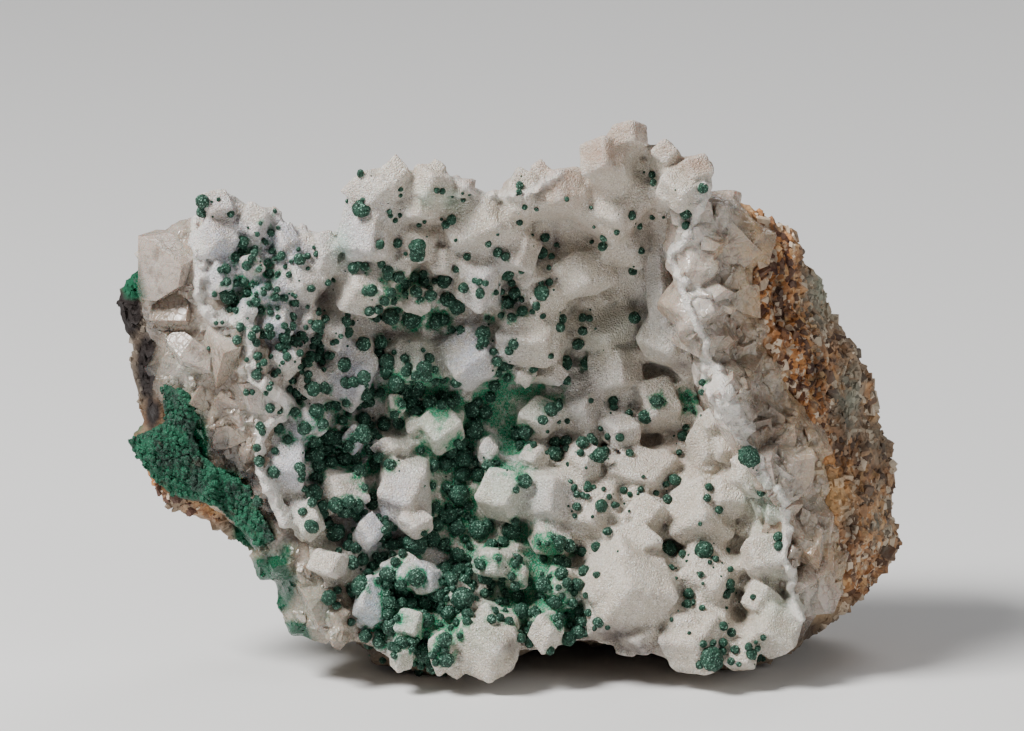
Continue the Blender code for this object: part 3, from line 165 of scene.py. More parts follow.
# Malachite balls that stand out in the hollow: across, up, diameter
BALLS = [
    # upper left
    (-45.2, 72.6, 2.2), (-45.2, 71.2, 2.0), (-41, 70.8, 1.2), (-33.8, 71.5, 2.6),
    (-30.8, 69.5, 1.8), (-37, 67.7, 0.9), (-35, 68, 1.2), (-35.8, 66.5, 0.9), (-39.2, 66.5, 2),
    (-37.5, 65.5, 1.3), (-34.9, 65.3, 1.2), (-35.3, 62, 1.5), (-35.5, 63.5, 1.2),
    (-30.7, 64, 1.9), (-32.3, 61.7, 1.1), (-41.7, 62.6, 1.6), (-42.5, 62.4, 1.2),
    (-26.5, 60.5, 1.2), (-29, 59.6, 1.4), (-39, 60.7, 1.6), (-40.3, 60.4, 1.3),
    (-41.5, 58.5, 2.4), (-41, 56.5, 1.6), (-38.5, 59, 1.6), (-37.3, 57.6, 1.5),
    (-36.5, 56.3, 1.3), (-34.3, 58.3, 1.4), (-33, 58.2, 1.3), (-31.5, 57.5, 1.5),
    # upper middle
    (-21.6, 76.8, 1.3), (-15.6, 74.4, 0.9), (-15.6, 73.5, 0.7), (-21.5, 71.5, 2.6),
    (-17.1, 70.5, 0.9), (-16.4, 69.8, 0.9), (-8, 69.9, 1.7), (-8.9, 69.2, 1.4),
    (2.2, 75, 1.3), (2.1, 74, 1.1), (2.2, 69.5, 1.2), (-18.7, 66.2, 1.6), (-16.1, 66.4, 1.6),
    (-13.1, 65.9, 2.7), (-13.1, 64.7, 2.4), (-2.5, 66.3, 1.2), (-1.1, 65, 1.7),
    (-5.7, 64.4, 1.3), (5.5, 65, 2), (6, 67.3, 1.6), (-22.7, 62.7, 1.9), (-22, 63.3, 1.5),
    (-21, 62.9, 1.5), (-7.3, 62.5, 1.2), (-17.5, 62.3, 1.8), (-15.9, 61.3, 2),
    (-14.9, 60.2, 1.6), (-13.3, 59.2, 2.1), (-12.2, 60.8, 1.6), (-9.1, 60.9, 2.4),
    (-6.2, 59.7, 1.6), (-3.9, 60.6, 1.2), (-2.9, 60.4, 1.1), (0.3, 61.9, 2.4), (1, 60.5, 1.4),
    (-0.6, 59.2, 1.2), (1.5, 59, 2), (0.5, 57.5, 2), (2.6, 56.3, 1.7), (5.5, 59, 2.4),
    (5.4, 60.5, 1), (4.7, 57, 1.5), (5.7, 55.5, 1), (-20, 59.3, 1.9), (-20.8, 59.2, 1.5),
    (-17, 59, 1.7), (-18, 57.7, 1.6), (-20.3, 56.2, 1.6), (-17.2, 55.4, 2.8),
    (-14, 55.2, 3.1), (-10.4, 54.8, 2.4), (-9.2, 55, 1.8), (-8.6, 58, 2.6), (-7.2, 57, 2.6),
    (-8, 53.5, 1.4), (-6.7, 53.5, 1.4),
    # upper right
    (29.5, 74.5, 1.9), (22, 76.6, 1.2), (22.1, 75.4, 1.2), (19, 70.5, 1.5), (22.1, 70.3, 1),
    (27, 70.8, 2), (27, 69, 1.4), (16.7, 68, 1), (14.8, 67.2, 1.5), (14.6, 65.9, 1.5),
    (20.4, 65.3, 1.2), (19.2, 62.3, 1.4), (6.6, 62.8, 0.9), (7, 64.5, 1.2),
    # left
    (-23.9, 53.1, 2.2), (-23.8, 54.7, 1.8), (-28, 54, 2), (-27, 55, 1.5), (-31.8, 55.4, 1.6),
    (-31.8, 54, 1.5), (-33, 52.3, 2), (-31.5, 51.8, 2), (-35.2, 52.8, 1.8), (-37.2, 53.5, 1.4),
    (-37.2, 51.5, 1.5), (-37, 49.5, 1.5), (-37, 47.5, 1.3), (-25.8, 51.5, 1),
    (-32.6, 49.4, 1.5), (-24.1, 48.2, 2.4), (-29.8, 48.3, 2.2), (-29.2, 49.6, 1.7),
    (-29.5, 46.8, 1.4), (-27.4, 48.6, 1.3), (-21.2, 46.3, 2.2), (-23.8, 45.5, 2),
    (-22.7, 45.6, 1.8), (-17.8, 48.8, 2.6), (-17.8, 47.3, 2.4), (-18.7, 51.6, 2.2),
    (-12.1, 47.7, 2.6), (-11.9, 46.5, 1.9), (-12.3, 50.4, 0.8), (-34.5, 46.8, 1.3),
    (-28.7, 44.6, 2.4), (-27.3, 44.9, 1.8), (-31.3, 44, 1.8), (-14.7, 45.2, 1.6),
    (-13.3, 44.3, 2.6), (-14.1, 42.5, 2.6), (-11.3, 42.5, 2.6), (-9.5, 43.3, 2),
    (-25.5, 42.5, 1.5), (-28.2, 41.3, 2.4), (-24.4, 39.9, 1.6), (-34, 38.7, 1.8),
    (-36.7, 39, 1.5), (-30.1, 38.6, 2.2), (-27.3, 39.3, 1.8), (-32.6, 37, 1.6),
    (-28.7, 36.7, 2.4), (-26.5, 37.3, 2.4), (-25, 37.2, 2.6), (-21.3, 37.8, 3),
    (-18.3, 39.3, 2.2), (-16, 39.4, 2.2), (-34.5, 35.3, 1.2), (-28.4, 34.7, 2.6),
    (-28, 33, 2), (-26.3, 33.5, 2.2), (-24.3, 34, 2.6), (-22.8, 34.2, 2.4), (-30.7, 32.8, 1.9),
    (-22, 32.2, 2.6), (-19, 34.3, 1.8), (-17.3, 33.3, 1.9), (-9, 33.3, 2.4), (-10.8, 33, 2),
    # middle
    (-3.3, 53, 2.4), (-3.3, 51.7, 2), (-3.9, 51, 1.2), (-1.7, 50.2, 1.3), (-1.2, 48.7, 1.8),
    (-0.3, 48, 2), (0.6, 48.2, 1.4), (-1, 47, 1.5), (0.3, 46.3, 1.5), (-1.6, 45, 1.8),
    (1.3, 51.3, 1.7), (0.6, 50.3, 1.5), (6.9, 49.5, 1), (9.1, 48.5, 2.3), (9.2, 45.9, 1.7),
    (4.3, 47.5, 1.3), (12.2, 48.5, 1.8), (8.5, 55, 1.7), (8.3, 53.8, 1.5), (11.7, 55.3, 1.4),
    (12.7, 55.2, 1.4), (11.7, 53.3, 1.7), (11, 51.3, 1.9), (19.5, 55.3, 1.9), (7, 41.5, 2.1),
    (8.1, 42, 1.7), (5.7, 39.9, 1.7), (3.2, 38.1, 2.4), (1.8, 37.7, 2), (2.3, 36, 1.6),
    (4.3, 36.2, 1.2), (7.6, 36.5, 2), (9.2, 36.7, 1.9), (7.5, 34.8, 2.6), (11.7, 36.5, 2),
    (13, 36.6, 2), (14.3, 34.6, 2.6), (15, 35.2, 1.7), (16.3, 42.8, 1.6), (16.4, 41.8, 1.5),
    (18.7, 40.9, 1.4), (21.2, 40.4, 2.2), (22.9, 42.7, 2.2), (26.8, 37.5, 1.8),
    (27.3, 38.7, 1.2), (26.3, 35, 1.2), (-4.7, 38.4, 3.3), (-5.1, 41.4, 2.4), (-3, 41, 2.4),
    (-6.2, 34.2, 3.2), (-6.7, 36.4, 2.1),
    # lower left
    (-28.7, 29, 3), (-27.3, 27, 1.9), (-24.2, 26.5, 2.8), (-22.6, 26.4, 2.6), (-25.5, 23, 3),
    (-23.5, 21, 2), (-17.8, 22.8, 1.8), (-15.8, 21.3, 2.2), (-13.5, 21.2, 4), (-11, 22, 2.5),
    (-17.6, 16.7, 2.8), (-13.3, 16.3, 2.7), (-21.7, 15, 3), (-23, 18.5, 2.4), (-21.5, 19, 2),
    (-15.7, 14.3, 2.6), (-17.5, 12.5, 2.4), (-14.3, 12.2, 2.2), (-12, 12.5, 2.8),
    (-10, 13.7, 2.6), (-17.6, 10.8, 1.9), (-17, 9, 3), (-11.3, 10.2, 1.2), (-21, 7.5, 2),
    (-19, 6.5, 2), (-17, 6, 1.5), (-12, 5, 3.4), (-9, 7, 2.4), (-8.8, 4, 2.6), (-13, 1.9, 1.5),
    (-9, 17.4, 2.4), (-7.2, 19.5, 2.5), (-8, 16, 2.2), (-6, 15.8, 2.1), (-6.3, 13.2, 3.2),
    (-8.5, 11, 2.4), (-11, 30, 1.4), (-6.4, 31.7, 2.6), (-4, 31.7, 2.2), (-2.8, 33, 1.6),
    (-6.9, 28.6, 3.3), (-8.5, 25.4, 2.4), (-6.9, 26.1, 1.7), (-5.5, 27, 1.8), (-4, 23.3, 3),
    # lower middle
    (3, 30.7, 2.3), (1.7, 29.4, 1.2), (1, 23.2, 2.8), (-0.3, 21.5, 1.8), (-2, 21, 2),
    (1.7, 18.9, 2.2), (-1, 19.1, 1), (-3.7, 18.2, 1.8), (-3, 16.3, 2.4), (1, 16.4, 1.5),
    (8.5, 16.9, 2), (10.9, 15.2, 2.2), (11.9, 17.2, 2), (9.3, 15.5, 1.6), (5.7, 15.2, 2.5),
    (13.8, 16.7, 1.3), (12.1, 13.6, 1.1), (2, 13.4, 2), (7.5, 12.5, 2.4), (2.5, 11.2, 2.4),
    (4.2, 11, 1.8), (-1.5, 11.3, 1.5), (-0.8, 10.3, 1.5), (11.3, 11.2, 2), (11.7, 9.8, 2),
    (3.3, 8, 2), (3.7, 6.5, 1.8), (9.5, 7, 2.6), (11, 8, 2.4), (10.4, 29.7, 1.2),
    (10.8, 28.7, 1.3), (10.8, 26.9, 1.5), (10.5, 25.5, 1), (12.4, 29.6, 1.4), (13.3, 29.8, 1),
    (14.5, 27, 2.2), (16.5, 27.1, 1.2), (17.9, 29.3, 1.4), (18.8, 28.7, 1), (15.4, 23.2, 1.6),
    (8.3, 20.7, 1.6), (10.5, 20.2, 1.4), (11.7, 20, 1.7), (13.7, 20.8, 1.7), (6.4, 21.3, 0.9),
    # lower right
    (24.6, 20.4, 2.8), (26.8, 19.7, 1.4), (29.9, 20.3, 2.8), (31.7, 19, 1.3), (29.4, 16.7, 1.2),
    (33.9, 17.5, 1.1), (33.8, 15.3, 1.8), (33.3, 13.7, 1.5), (27.6, 13.8, 1.7),
    (27.3, 12.2, 1.7), (29.6, 11.7, 1.1), (32.8, 9, 1.5), (34, 8, 1.6), (29.7, 6.4, 1.2),
    (31.2, 6.5, 1.2), (31, 4.1, 4), (34.5, 5.5, 1.6), (33.9, 3.7, 1.4), (37, 4.8, 1.8),
    (38, 4.2, 1.8), (25.6, 30.9, 1.9), (24.3, 30.2, 1.1), (22.8, 28.9, 1), (24.5, 28, 1.5),
    (30.7, 29.8, 1.5), (30.4, 28.2, 1.4), (32.2, 26.4, 1.4), (36.5, 34.5, 3.4),
    (38.4, 29.1, 1.5), (41, 22.4, 1.7), (41.1, 21, 1.6),
]

# Where smaller balls crowd: across, up, half width, half height, how many, from, to diameter
CROWDS = [
    (-36, 60, 7, 9, 90, 0.7, 1.6),
    (-16, 60, 8, 4, 34, 0.9, 2.0),
    (0, 59, 7, 5, 20, 0.8, 1.7),
    (-31, 50, 7, 6, 70, 0.8, 1.8),
    (-22, 44, 8, 8, 46, 0.9, 2.2),
    (-12, 44, 5, 6, 34, 1.2, 2.6),
    (-28, 36, 8, 6, 80, 1.0, 2.4),
    (-6, 38, 4, 8, 34, 1.2, 2.6),
    (-20, 26, 9, 7, 70, 1.0, 2.4),
    (-7, 25, 5, 9, 70, 1.1, 2.6),
    (-17, 13, 7, 7, 100, 1.2, 2.8),
    (-7, 13, 5, 6, 60, 1.1, 2.4),
    (4, 14, 7, 7, 60, 0.9, 2.2),
    (10, 10, 5, 4, 26, 0.9, 2.0),
    (-14, 5, 7, 4, 40, 1.0, 2.4),
    (10, 37, 8, 6, 20, 0.7, 1.6),
    (14, 28, 9, 5, 16, 0.5, 1.2),
    (30, 15, 7, 9, 22, 0.5, 1.3),
    (33, 5, 6, 3, 22, 0.7, 1.6),
    (28, 42, 3, 7, 10, 0.6, 1.3),
    (10, 70, 16, 8, 16, 0.5, 1.1),
    (-16, 70, 9, 6, 16, 0.5, 1.2),
]

# Crystals that no small ball has settled on: across, up, half width, half height
FREE_OF_BALLS = [
    (-15.2, 29, 3.6, 5.2), (-14.0, 24.6, 2.6, 2.0), (-12.6, 17.0, 3.4, 2.6), (-20.2, 12.8, 1.9, 3.4),
    (-14.2, 9.2, 2.2, 2.3), (-2.6, 5.2, 4.6, 4.6), (-20.4, 23.2, 1.9, 2.6), (-15.2, 4.2, 1.4, 2.2),
    (-27.4, 18.8, 2.6, 1.8), (-1.0, 28.6, 3.8, 4.2), (6.8, 28.0, 3.2, 4.2), (-1.4, 18.4, 2.4, 2.4),
    (-23.4, 47.6, 2.8, 4.6), (-5.6, 50.0, 3.6, 4.0), (4.0, 52.4, 4.8, 3.6), (6.0, 8.0, 2.0, 2.6),
    (-30.4, 39.0, 2.4, 2.0), (-32.4, 33.4, 2.2, 3.6), (-21.0, 59.6, 3.6, 3.0), (-21.0, 68.0, 3.8, 4.6),
    (-9.6, 38.6, 3.2, 3.2), (-24.0, 30.0, 2.0, 2.0), (18.0, 14.6, 6.0, 6.0),
]

# The larger crystals of the hollow: across, up, width, height, and how far each is turned to the
# right, leant upwards and rolled, in degrees
CRYSTALS = [
    # upper left
    (-43.2, 67, 6.8, 6.4, 6, -16, 8),
    (-43.2, 72, 6.2, 5.4, -30, 17, -6),
    (-37.5, 69.2, 5.2, 7.6, 14, 36, 4),
    (-33, 66.6, 4.4, 6.4, -3, -3, -12),
    (-30.3, 62, 8.4, 10.4, -4, 19, 14),
    (-38, 62.8, 4.4, 4.6, -10, 16, 20),
    (-36, 59.2, 5.4, 4, -16, -20, -10),
    (-38.6, 56.4, 3.6, 4.2, -15, -22, 10),
    (-34, 54.8, 5.6, 6, 29, -6, 30),
    (-29.3, 55.2, 3.9, 5, 4, -18, -15),
    (-42.6, 61, 4, 6.4, 3, 13, 4),
    (-33, 48.7, 5.4, 5.8, 7, 11, 18),
    # upper middle
    (-20, 74.3, 8.8, 5.6, -25, 57, 4),
    (-21, 68, 8.6, 10.6, 11, 27, -6),
    (-16.3, 76.3, 4.8, 6.6, -5, 23, -14),
    (-11.2, 75.2, 6.6, 6.8, -33, 51, 16),
    (-12.8, 71.6, 5.4, 4.4, -12, 33, 10),
    (-27, 64.8, 4.4, 7.6, -6, -7, -8),
    (-21.3, 59.3, 9.4, 8, -18, -29, 6),
    (-9.6, 63.8, 3.8, 5.2, 18, 34, 4),
    (-4, 61.2, 7.6, 10.4, 16, -13, 12),
    (-3, 69.8, 14, 9, 27, 2, -4),
    (2, 65.2, 6.8, 7.4, 2, 29, 24),
    (2.6, 74, 5.6, 7.2, 21, 12, -8),
    (3.8, 61.4, 4.2, 3.8, 14, -1, 12),
    (6.2, 58.8, 7, 6.8, 46, -27, 32),
    (-13.2, 57.8, 5, 5, -26, 7, 22),
    (-7, 74.6, 4.6, 3, 13, 48, 10),
    (-17, 63.2, 6.4, 5, -19, -14, 18),
    (-13, 66.6, 6.8, 6.4, 33, -14, -20),
    # upper right
    (8.6, 74.6, 7.6, 7.6, -9, 28, 6),
    (14.6, 78.8, 7.4, 7.6, 9, 3, -14),
    (18.6, 82.4, 6, 5, 17, 6, 14),
    (15.6, 73, 13, 13.4, 15, 21, 38),
    (26.2, 74.6, 7.6, 7, 10, 6, 8),
    (24, 79.6, 4.6, 4.8, -9, 42, -10),
    (28.6, 77.4, 5.6, 5, -20, 35, 20),
    (18.2, 66.4, 9, 8, 25, 9, 12),
    (12, 62, 10, 8.2, 4, 16, -24),
    (23.6, 61.5, 5.4, 16, -1, 20, 4),
    (24.6, 52.4, 9.6, 10.6, 5, 28, 10),
    (15.2, 53.4, 10.6, 10, -3, 6, 22),
    # middle
    (-23.2, 47, 8, 11.6, 26, 12, 10),
    (-13.6, 48.6, 9.4, 8, 21, 18, 18),
    (-5.6, 49.2, 8.8, 9.6, -32, 30, -16),
    (4, 52.2, 11.6, 9, 21, -10, 4),
    (3.2, 46.4, 3.8, 3.4, 25, 3, 10),
    (7.2, 46.8, 4.8, 4, -15, 3, -12),
    (16.6, 47.4, 9, 8.4, 23, 27, 20),
    (23, 42.2, 7.6, 9.6, -18, 21, -10),
    (12, 42, 7.2, 10.2, -6, -13, 14),
    (17.4, 38.2, 7, 5.4, -22, -23, 8),
    (-16.6, 42, 3.4, 4, -10, -5, 10),
    (-9.6, 38.6, 7.4, 7.6, -15, 19, 12),
    (-29.4, 39.4, 6, 5.4, 1, -9, 24),
    (-22.8, 37, 3.8, 4.8, 14, 29, -18),
    (5.4, 40.4, 8, 6.2, 24, 23, -8),
    (-2.6, 35, 3.4, 4.8, 14, 23, 12),
    (-25.6, 53.2, 3.8, 6.2, 35, -8, -10),
    (-13.6, 39, 3.2, 3.8, 16, -17, 16),
    (-17.2, 35.6, 6.2, 3.6, 19, -23, 4),
    (-29, 45.6, 5, 5.2, 35, -7, 28),
    # lower left
    (-32.4, 33, 5.8, 8.6, 42, -12, 8),
    (-29.3, 25, 4.4, 6.6, 34, -21, -12),
    (-26.6, 18.4, 6.4, 4.6, 10, 23, 12),
    (-24.2, 29, 8, 6.8, -9, 19, 6),
    (-20.4, 23.2, 4.6, 6, 13, 22, 30),
    (-15.2, 28.6, 8.6, 11, 17, 9, 4),
    (-13.4, 24.4, 5.6, 4.8, -4, 0, 14),
    (-14.8, 17.2, 8, 5.6, -28, 20, 20),
    (-11.6, 15.6, 5, 5.2, 20, 30, -12),
    (-20.2, 12.8, 5.2, 8.2, -31, -9, -18),
    (-14.2, 9.2, 5.2, 5.4, 13, 19, 16),
    (-15.6, 4.6, 4, 5.4, -14, -19, 8),
    (-2.6, 5.4, 10.6, 9.6, 25, -20, 8),
    (6.2, 8, 5.2, 6.4, 20, -11, -8),
    (-2.6, 10.6, 3.6, 4.2, 24, -12, 24),
    (-1.4, 18.2, 5.8, 5.4, -8, 25, 12),
    (2.2, 16.4, 3.4, 4.6, 29, 15, -10),
    (-9.6, 5, 4.4, 7, -28, 15, 4),
    (-7.6, 13.2, 5.4, 5.8, -13, -11, 18),
    # lower middle
    (-0.4, 28.6, 8.2, 9, 8, 18, 10),
    (6.8, 28, 7, 9, -7, 24, 4),
    (13.6, 25.4, 9.4, 10, -10, -13, -10),
    (6.8, 21.8, 7, 5, -13, -20, 12),
    (21.4, 25.8, 6.8, 6.4, -6, 30, 26),
    (20.8, 31.8, 12.4, 8.2, 25, 4, -6),
    (19, 14.2, 13.6, 13, -4, -23, 36),
    (19.2, 21.8, 10, 5.6, -22, 25, 4),
    (4.4, 34.2, 4.6, 4.6, -15, -1, 14),
    (12, 33.4, 5.2, 7.2, -5, -12, -8),
    (8.6, 14.6, 6.4, 6.6, -13, -13, 22),
    # lower right
    (28.6, 6.4, 10.8, 9.8, -4, -20, 10),
    (35.4, 4.6, 5.8, 5.6, 25, 12, 30),
    (40.2, 8.2, 8.8, 8.2, -27, -20, 12),
    (30.4, 15.4, 9.8, 9.8, 20, -7, 18),
    (38.8, 19.6, 7.6, 7.4, -29, 21, 10),
    (38.6, 12.6, 6, 6.8, -33, 14, -14),
    (29.6, 25.6, 10.6, 11.4, 1, -10, 14),
    (33.6, 28.4, 6.8, 6.8, -32, -4, -20),
    (36, 31.6, 5.4, 4.4, -37, 20, 8),
    (30.6, 36, 6.6, 10.2, -7, 14, 12),
    (20.4, 7.2, 6.8, 5.4, -18, -3, 4),
    (14.6, 9.6, 6.6, 5, -21, 10, 12),
    # on the rim at the top
    (-5.6, 75.2, 2.8, 2.4, 10, 30, 10),
    (-2.8, 75.6, 2.6, 2.2, -12, 40, 20),
    (0.2, 76.4, 3.0, 2.4, 5, 35, 0),
    (-10.2, 77.4, 3.2, 3.2, 8, 30, 24),
    (5.2, 77.2, 3.2, 3.4, -14, 24, 12),
    # along the rind
    (31.2, 39.4, 4.4, 5.2, -25, 5, 12),
    (33.2, 35.6, 4.2, 4.4, -25, 8, -8),
    (35.4, 33.4, 3.4, 3.4, -20, 0, 24),
    (37.2, 30.2, 4.6, 4.6, -28, 4, 16),
    (40.4, 26.2, 3.4, 4.8, -30, 6, 10),
    (29.6, 47.4, 3.6, 5.2, -30, 0, 20),
]

# Patches of colour on the crystals: across, up, half width, half height, strength
# The cool patches are painted reflection: a bluish tint laid on crystal faces, mostly on the left
PAINTED_REFLECTION_PATCHES = [
    (-43, 66, 6, 8, 0.9), (-33, 66, 6, 5, 0.9), (-37, 59, 6, 5, 1.0), (-34, 54, 5, 5, 0.9),
    (-23, 68, 6, 7, 0.5), (-23, 47, 5, 7, 0.8), (-29, 38, 5, 5, 0.9), (-23, 36, 4, 4, 0.9),
    (-5.5, 50, 6, 6, 0.8), (-3, 60, 5, 6, 0.4), (-20, 24, 4, 5, 0.9), (-14, 17, 7, 4, 0.9),
    (-20, 12, 4, 6, 1.0), (-32, 33, 5, 6, 0.7), (-1, 35, 4, 4, 0.5), (6, 27, 5, 6, 0.3),
    (12, 41, 8, 7, 0.3), (24, 60, 4, 10, 0.3), (-10, 18, 5, 4, 0.7), (-16, 28, 5, 6, 0.5),
]
STAIN_PATCHES = [
    (0, 39, 3.5, 8, 0.9), (-9, 39, 6, 6, 0.8), (5, 20, 4, 6, 1.0), (1, 32.5, 4, 2.5, 0.8),
    (2, 44, 7, 2.5, 1.0), (28, 44, 3, 4, 0.5), (-11, 45, 3, 3, 0.8), (-16, 44, 4, 4, 0.7),
    (-27, 38, 8, 7, 0.45), (-15, 12, 9, 9, 0.55), (-7, 27, 5, 9, 0.6), (-22, 32, 8, 5, 0.5),
    (-17, 60, 6, 3, 0.5), (-38, 60, 6, 8, 0.35), (4, 13, 6, 5, 0.6), (-2, 20, 4, 5, 0.5),
    (-10, 8, 6, 7, 0.6), (8.8, 11, 2, 3, 0.7), (38, 27, 2, 5, 0.2), (-1, 55, 5, 5, 0.3),
    (-35, 70, 4, 2, 0.3), (24, 43, 3, 4, 0.4), (13, 48, 3, 3, 0.3), (-13, 55, 7, 4, 0.5),
]
CLEAR_PATCHES = [
    (8.6, 75, 3.6, 4, 1.0), (14.5, 80, 3.8, 3.4, 1.0), (19, 83.6, 4, 2, 0.9), (-4, 75.6, 4.4, 1.4, 1.0),
    (5.6, 78, 1.8, 1, 1.0), (28.6, 78.4, 3, 2, 0.9), (24, 81, 2, 1.6, 0.7), (13, 74, 3, 3, 0.4),
    (42, 10, 2, 2, 0.4), (41.5, 14.5, 1.6, 2, 0.6), (-44, 70.5, 2.4, 2, 0.4), (12, 68, 4, 3, 0.35),
    (20, 70, 4, 4, 0.3), (14, 56, 5, 3, 0.25), (-12, 68, 4, 5, 0.2), (24, 35, 4, 3, 0.25), (3, 66, 4, 4, 0.2),
]
BARE_PATCHES = [
    (16.5, 7.6, 4, 1.8, 1.0), (20, 5.4, 4, 1.8, 1.0), (0.8, 6.0, 2.2, 1.2, 0.8), (-22, 4.6, 5, 1.2, 0.9),
    (26, 1.4, 2, 1, 0.6), (-4, 75.6, 4, 1.4, 0.5), (0.6, 76.8, 2, 1.2, 0.5), (12.6, 6.6, 2, 1.2, 0.9),
    (2.2, 44.3, 5, 0.9, 1.0), (-27.2, 58.6, 1.3, 1.6, 1.0), (-16.5, 52.8, 3, 0.7, 1.0), (27, 48, 2.6, 1, 0.8),
    (7.6, 66.5, 0.8, 2.6, 0.9), (-36, 47.4, 0.8, 2, 0.6),
]
MINT_PATCHES = [
    (9, 12, 2.5, 3, 0.8), (-1, 12.5, 2.5, 2, 0.7), (-8, 31, 3, 2, 0.6), (-8, 73, 2, 2, 0.6),
    (-11.7, 73, 1.5, 1.5, 0.6), (-24.5, 66, 1.5, 3, 0.7), (39.5, 28, 3, 4, 0.7),
    (42, 13, 3, 5, 0.5), (-15, 10, 7, 7, 0.45), (0, 30, 6, 6, 0.35), (-4, 8, 4, 3, 0.3),
    (-13, 48, 5, 4, 0.35), (-2, 18, 4, 3, 0.5), (-10, 38, 5, 5, 0.5), (4, 42, 5, 3, 0.3),
    (-30, 24, 4, 4, 0.2), (15, 54, 6, 4, 0.25),
]

# Patches of colour on the broken rock
IRON_PATCHES = [
    (40, 62, 5, 12, 1.0), (46, 46, 5, 8, 1.0), (50, 32, 4, 8, 0.9), (56, 25, 4, 12, 0.8),
    (44, 54, 4, 6, 1.0), (33, 65.3, 1.5, 2.2, 0.9), (-53, 31, 3, 3, 0.8), (-44.5, 27, 3, 2, 0.7),
    (50, 20, 4, 4, 0.6), (-52.5, 40.5, 3, 2.5, 0.6), (57, 44, 3, 6, 0.7), (53, 16, 4, 3, 0.7),
    (38, 71, 3, 4, 0.9), (46, 36, 2, 3, 0.5), (41.5, 24, 1.5, 3, 0.4), (-55, 35, 3, 3, 0.7),
]
DARK_PATCHES = [
    (-57, 56, 3.6, 5, 1.4), (-53.8, 48, 2.2, 7, 1.4), (-53, 41, 2, 3.4, 1.2), (41, 60, 1.6, 5, 0.7),
    (47, 47, 1.5, 5, 0.8), (-43.6, 36, 3.6, 2.6, 1.3), (-34.4, 26.6, 3, 4, 1.3), (-38.6, 31, 3.4, 3, 1.3),
    (-32, 22.5, 3, 1.5, 0.9),
    (45, 8, 3, 2, 0.8), (-22, 5, 6, 1.5, 0.8), (40, 67, 1.5, 4, 0.7), (51, 38, 1.5, 6, 0.6),
    (-26.5, 15, 2, 2, 0.6), (57, 34, 2, 5, 0.5), (16, 8.5, 4, 2, 0.5), (52, 24, 1.2, 4, 0.7),
    (-56, 48, 2, 5, 0.6), (-41, 33, 3, 2.5, 1.2), (53.5, 33, 1.2, 6, 0.5), (-52, 36, 2, 2, 0.5),
]
SMOKE_PATCHES = [
    (39.5, 40.5, 3.6, 4, 0.9), (44, 40, 4, 3, 0.6), (48, 19, 4.4, 2.8, 0.9), (34, 52.5, 5, 2.4, 0.6),
    (38, 47, 3, 3, 0.5), (31, 60, 3, 1, 0.4), (43, 23, 2.4, 3, 0.6), (-50, 60, 3, 5, 0.5),
    (-41.5, 43, 3, 2.6, 0.7), (-45, 37, 3, 3, 0.6), (-49, 66, 2, 4, 0.4), (-41, 37.5, 2.4, 2.2, 0.3),
    (44.5, 31, 2, 4, 0.4), (-30, 17, 3, 2, 0.5), (-40, 31, 3, 3, 0.7), (33, 56, 3, 1, 0.4),
]
PALE_PATCHES = [
    (-45.4, 60, 1.6, 3.4, 1.0), (-38, 51, 1.5, 6, 1.0), (-35, 43, 4, 3.4, 1.0), (28, 68, 3.4, 7, 0.9),
    (29, 58, 3, 3.4, 0.9), (31.5, 46, 2.2, 3.4, 1.0), (34, 39.4, 2.6, 3, 1.0), (42, 31, 3, 4, 0.4),
    (46.5, 13, 4, 3.4, 0.6), (-43, 54, 3, 2, 0.9), (-46, 69, 4, 3, 0.4), (49, 28.5, 3.4, 4, 0.8),
    (33, 70, 3.4, 4, 0.7), (-48, 48, 3, 3, 0.5), (45, 34, 2, 2, 0.5), (-53, 62, 2, 3, 0.4),
]
SAGE_PATCHES = [
    (48, 60, 3, 7, 1.0), (52, 43, 2.5, 6, 0.9), (57, 40, 3, 8, 0.6), (57, 25, 3, 6, 0.6),
    (-35, 19, 3, 3, 0.8), (-29, 12, 5, 7, 0.7), (-49, 47, 4, 4, 0.5), (55, 52, 2, 5, 0.6),
    (-31, 9, 4, 4, 0.6), (-41, 52, 2.4, 3, 0.4),
]
MOSS_PATCHES = [
    (-55.6, 61, 2.4, 3, 1.3), (-35.5, 15, 3.8, 4.4, 1.5), (-32, 7, 3, 2.6, 1.4), (-36, 11.5, 2, 3.4, 1.2),
    (-46, 36, 1.8, 6, 0.9), (-38, 23, 3.4, 3, 1.0), (-56, 39, 2, 2, 0.7), (-42, 30, 3.4, 3, 0.9),
    (-33, 20, 2, 3, 0.6), (-29, 25, 2, 4, 0.6), (-27, 11, 1.6, 2.4, 0.5), (-49, 43, 3, 2, 0.6),
]

# Stretches of broken quartz with blocks and chips on them: the outline, how many, from and to size
UPPER_LEFT_WALL = [(-57, 57), (-54, 69), (-46.5, 73), (-46, 63), (-45, 57), (-52, 46)]
MIDDLE_LEFT_WALL = [(-52, 52), (-45, 57), (-38, 55), (-38, 46), (-46, 40), (-52, 44)]
LOWER_LEFT_WALL = [(-46, 42), (-37, 46), (-36, 36), (-32, 24), (-38, 27), (-46, 34)]
FOOT_LEFT_WALL = [(-38, 21), (-33, 24), (-27, 16), (-22, 6), (-31, 6), (-36, 14)]
UPPER_RIGHT_WALL = [(25, 61), (28, 76), (37, 74), (38, 60), (37, 55), (28, 55)]
MIDDLE_RIGHT_WALL = [(28, 55), (38, 55), (42, 43), (33, 40), (30, 45)]
LOWER_RIGHT_WALL = [(33, 40), (42, 43), (49, 35), (49, 25), (43, 25), (38, 32)]
FOOT_RIGHT_WALL = [(43, 25), (50, 25), (53, 16), (50, 10), (44, 8), (43, 17)]
TOP_WALL = [(-30, 66), (-22, 70), (0, 75), (20, 80), (30, 78), (30, 74), (0, 72), (-26, 64)]
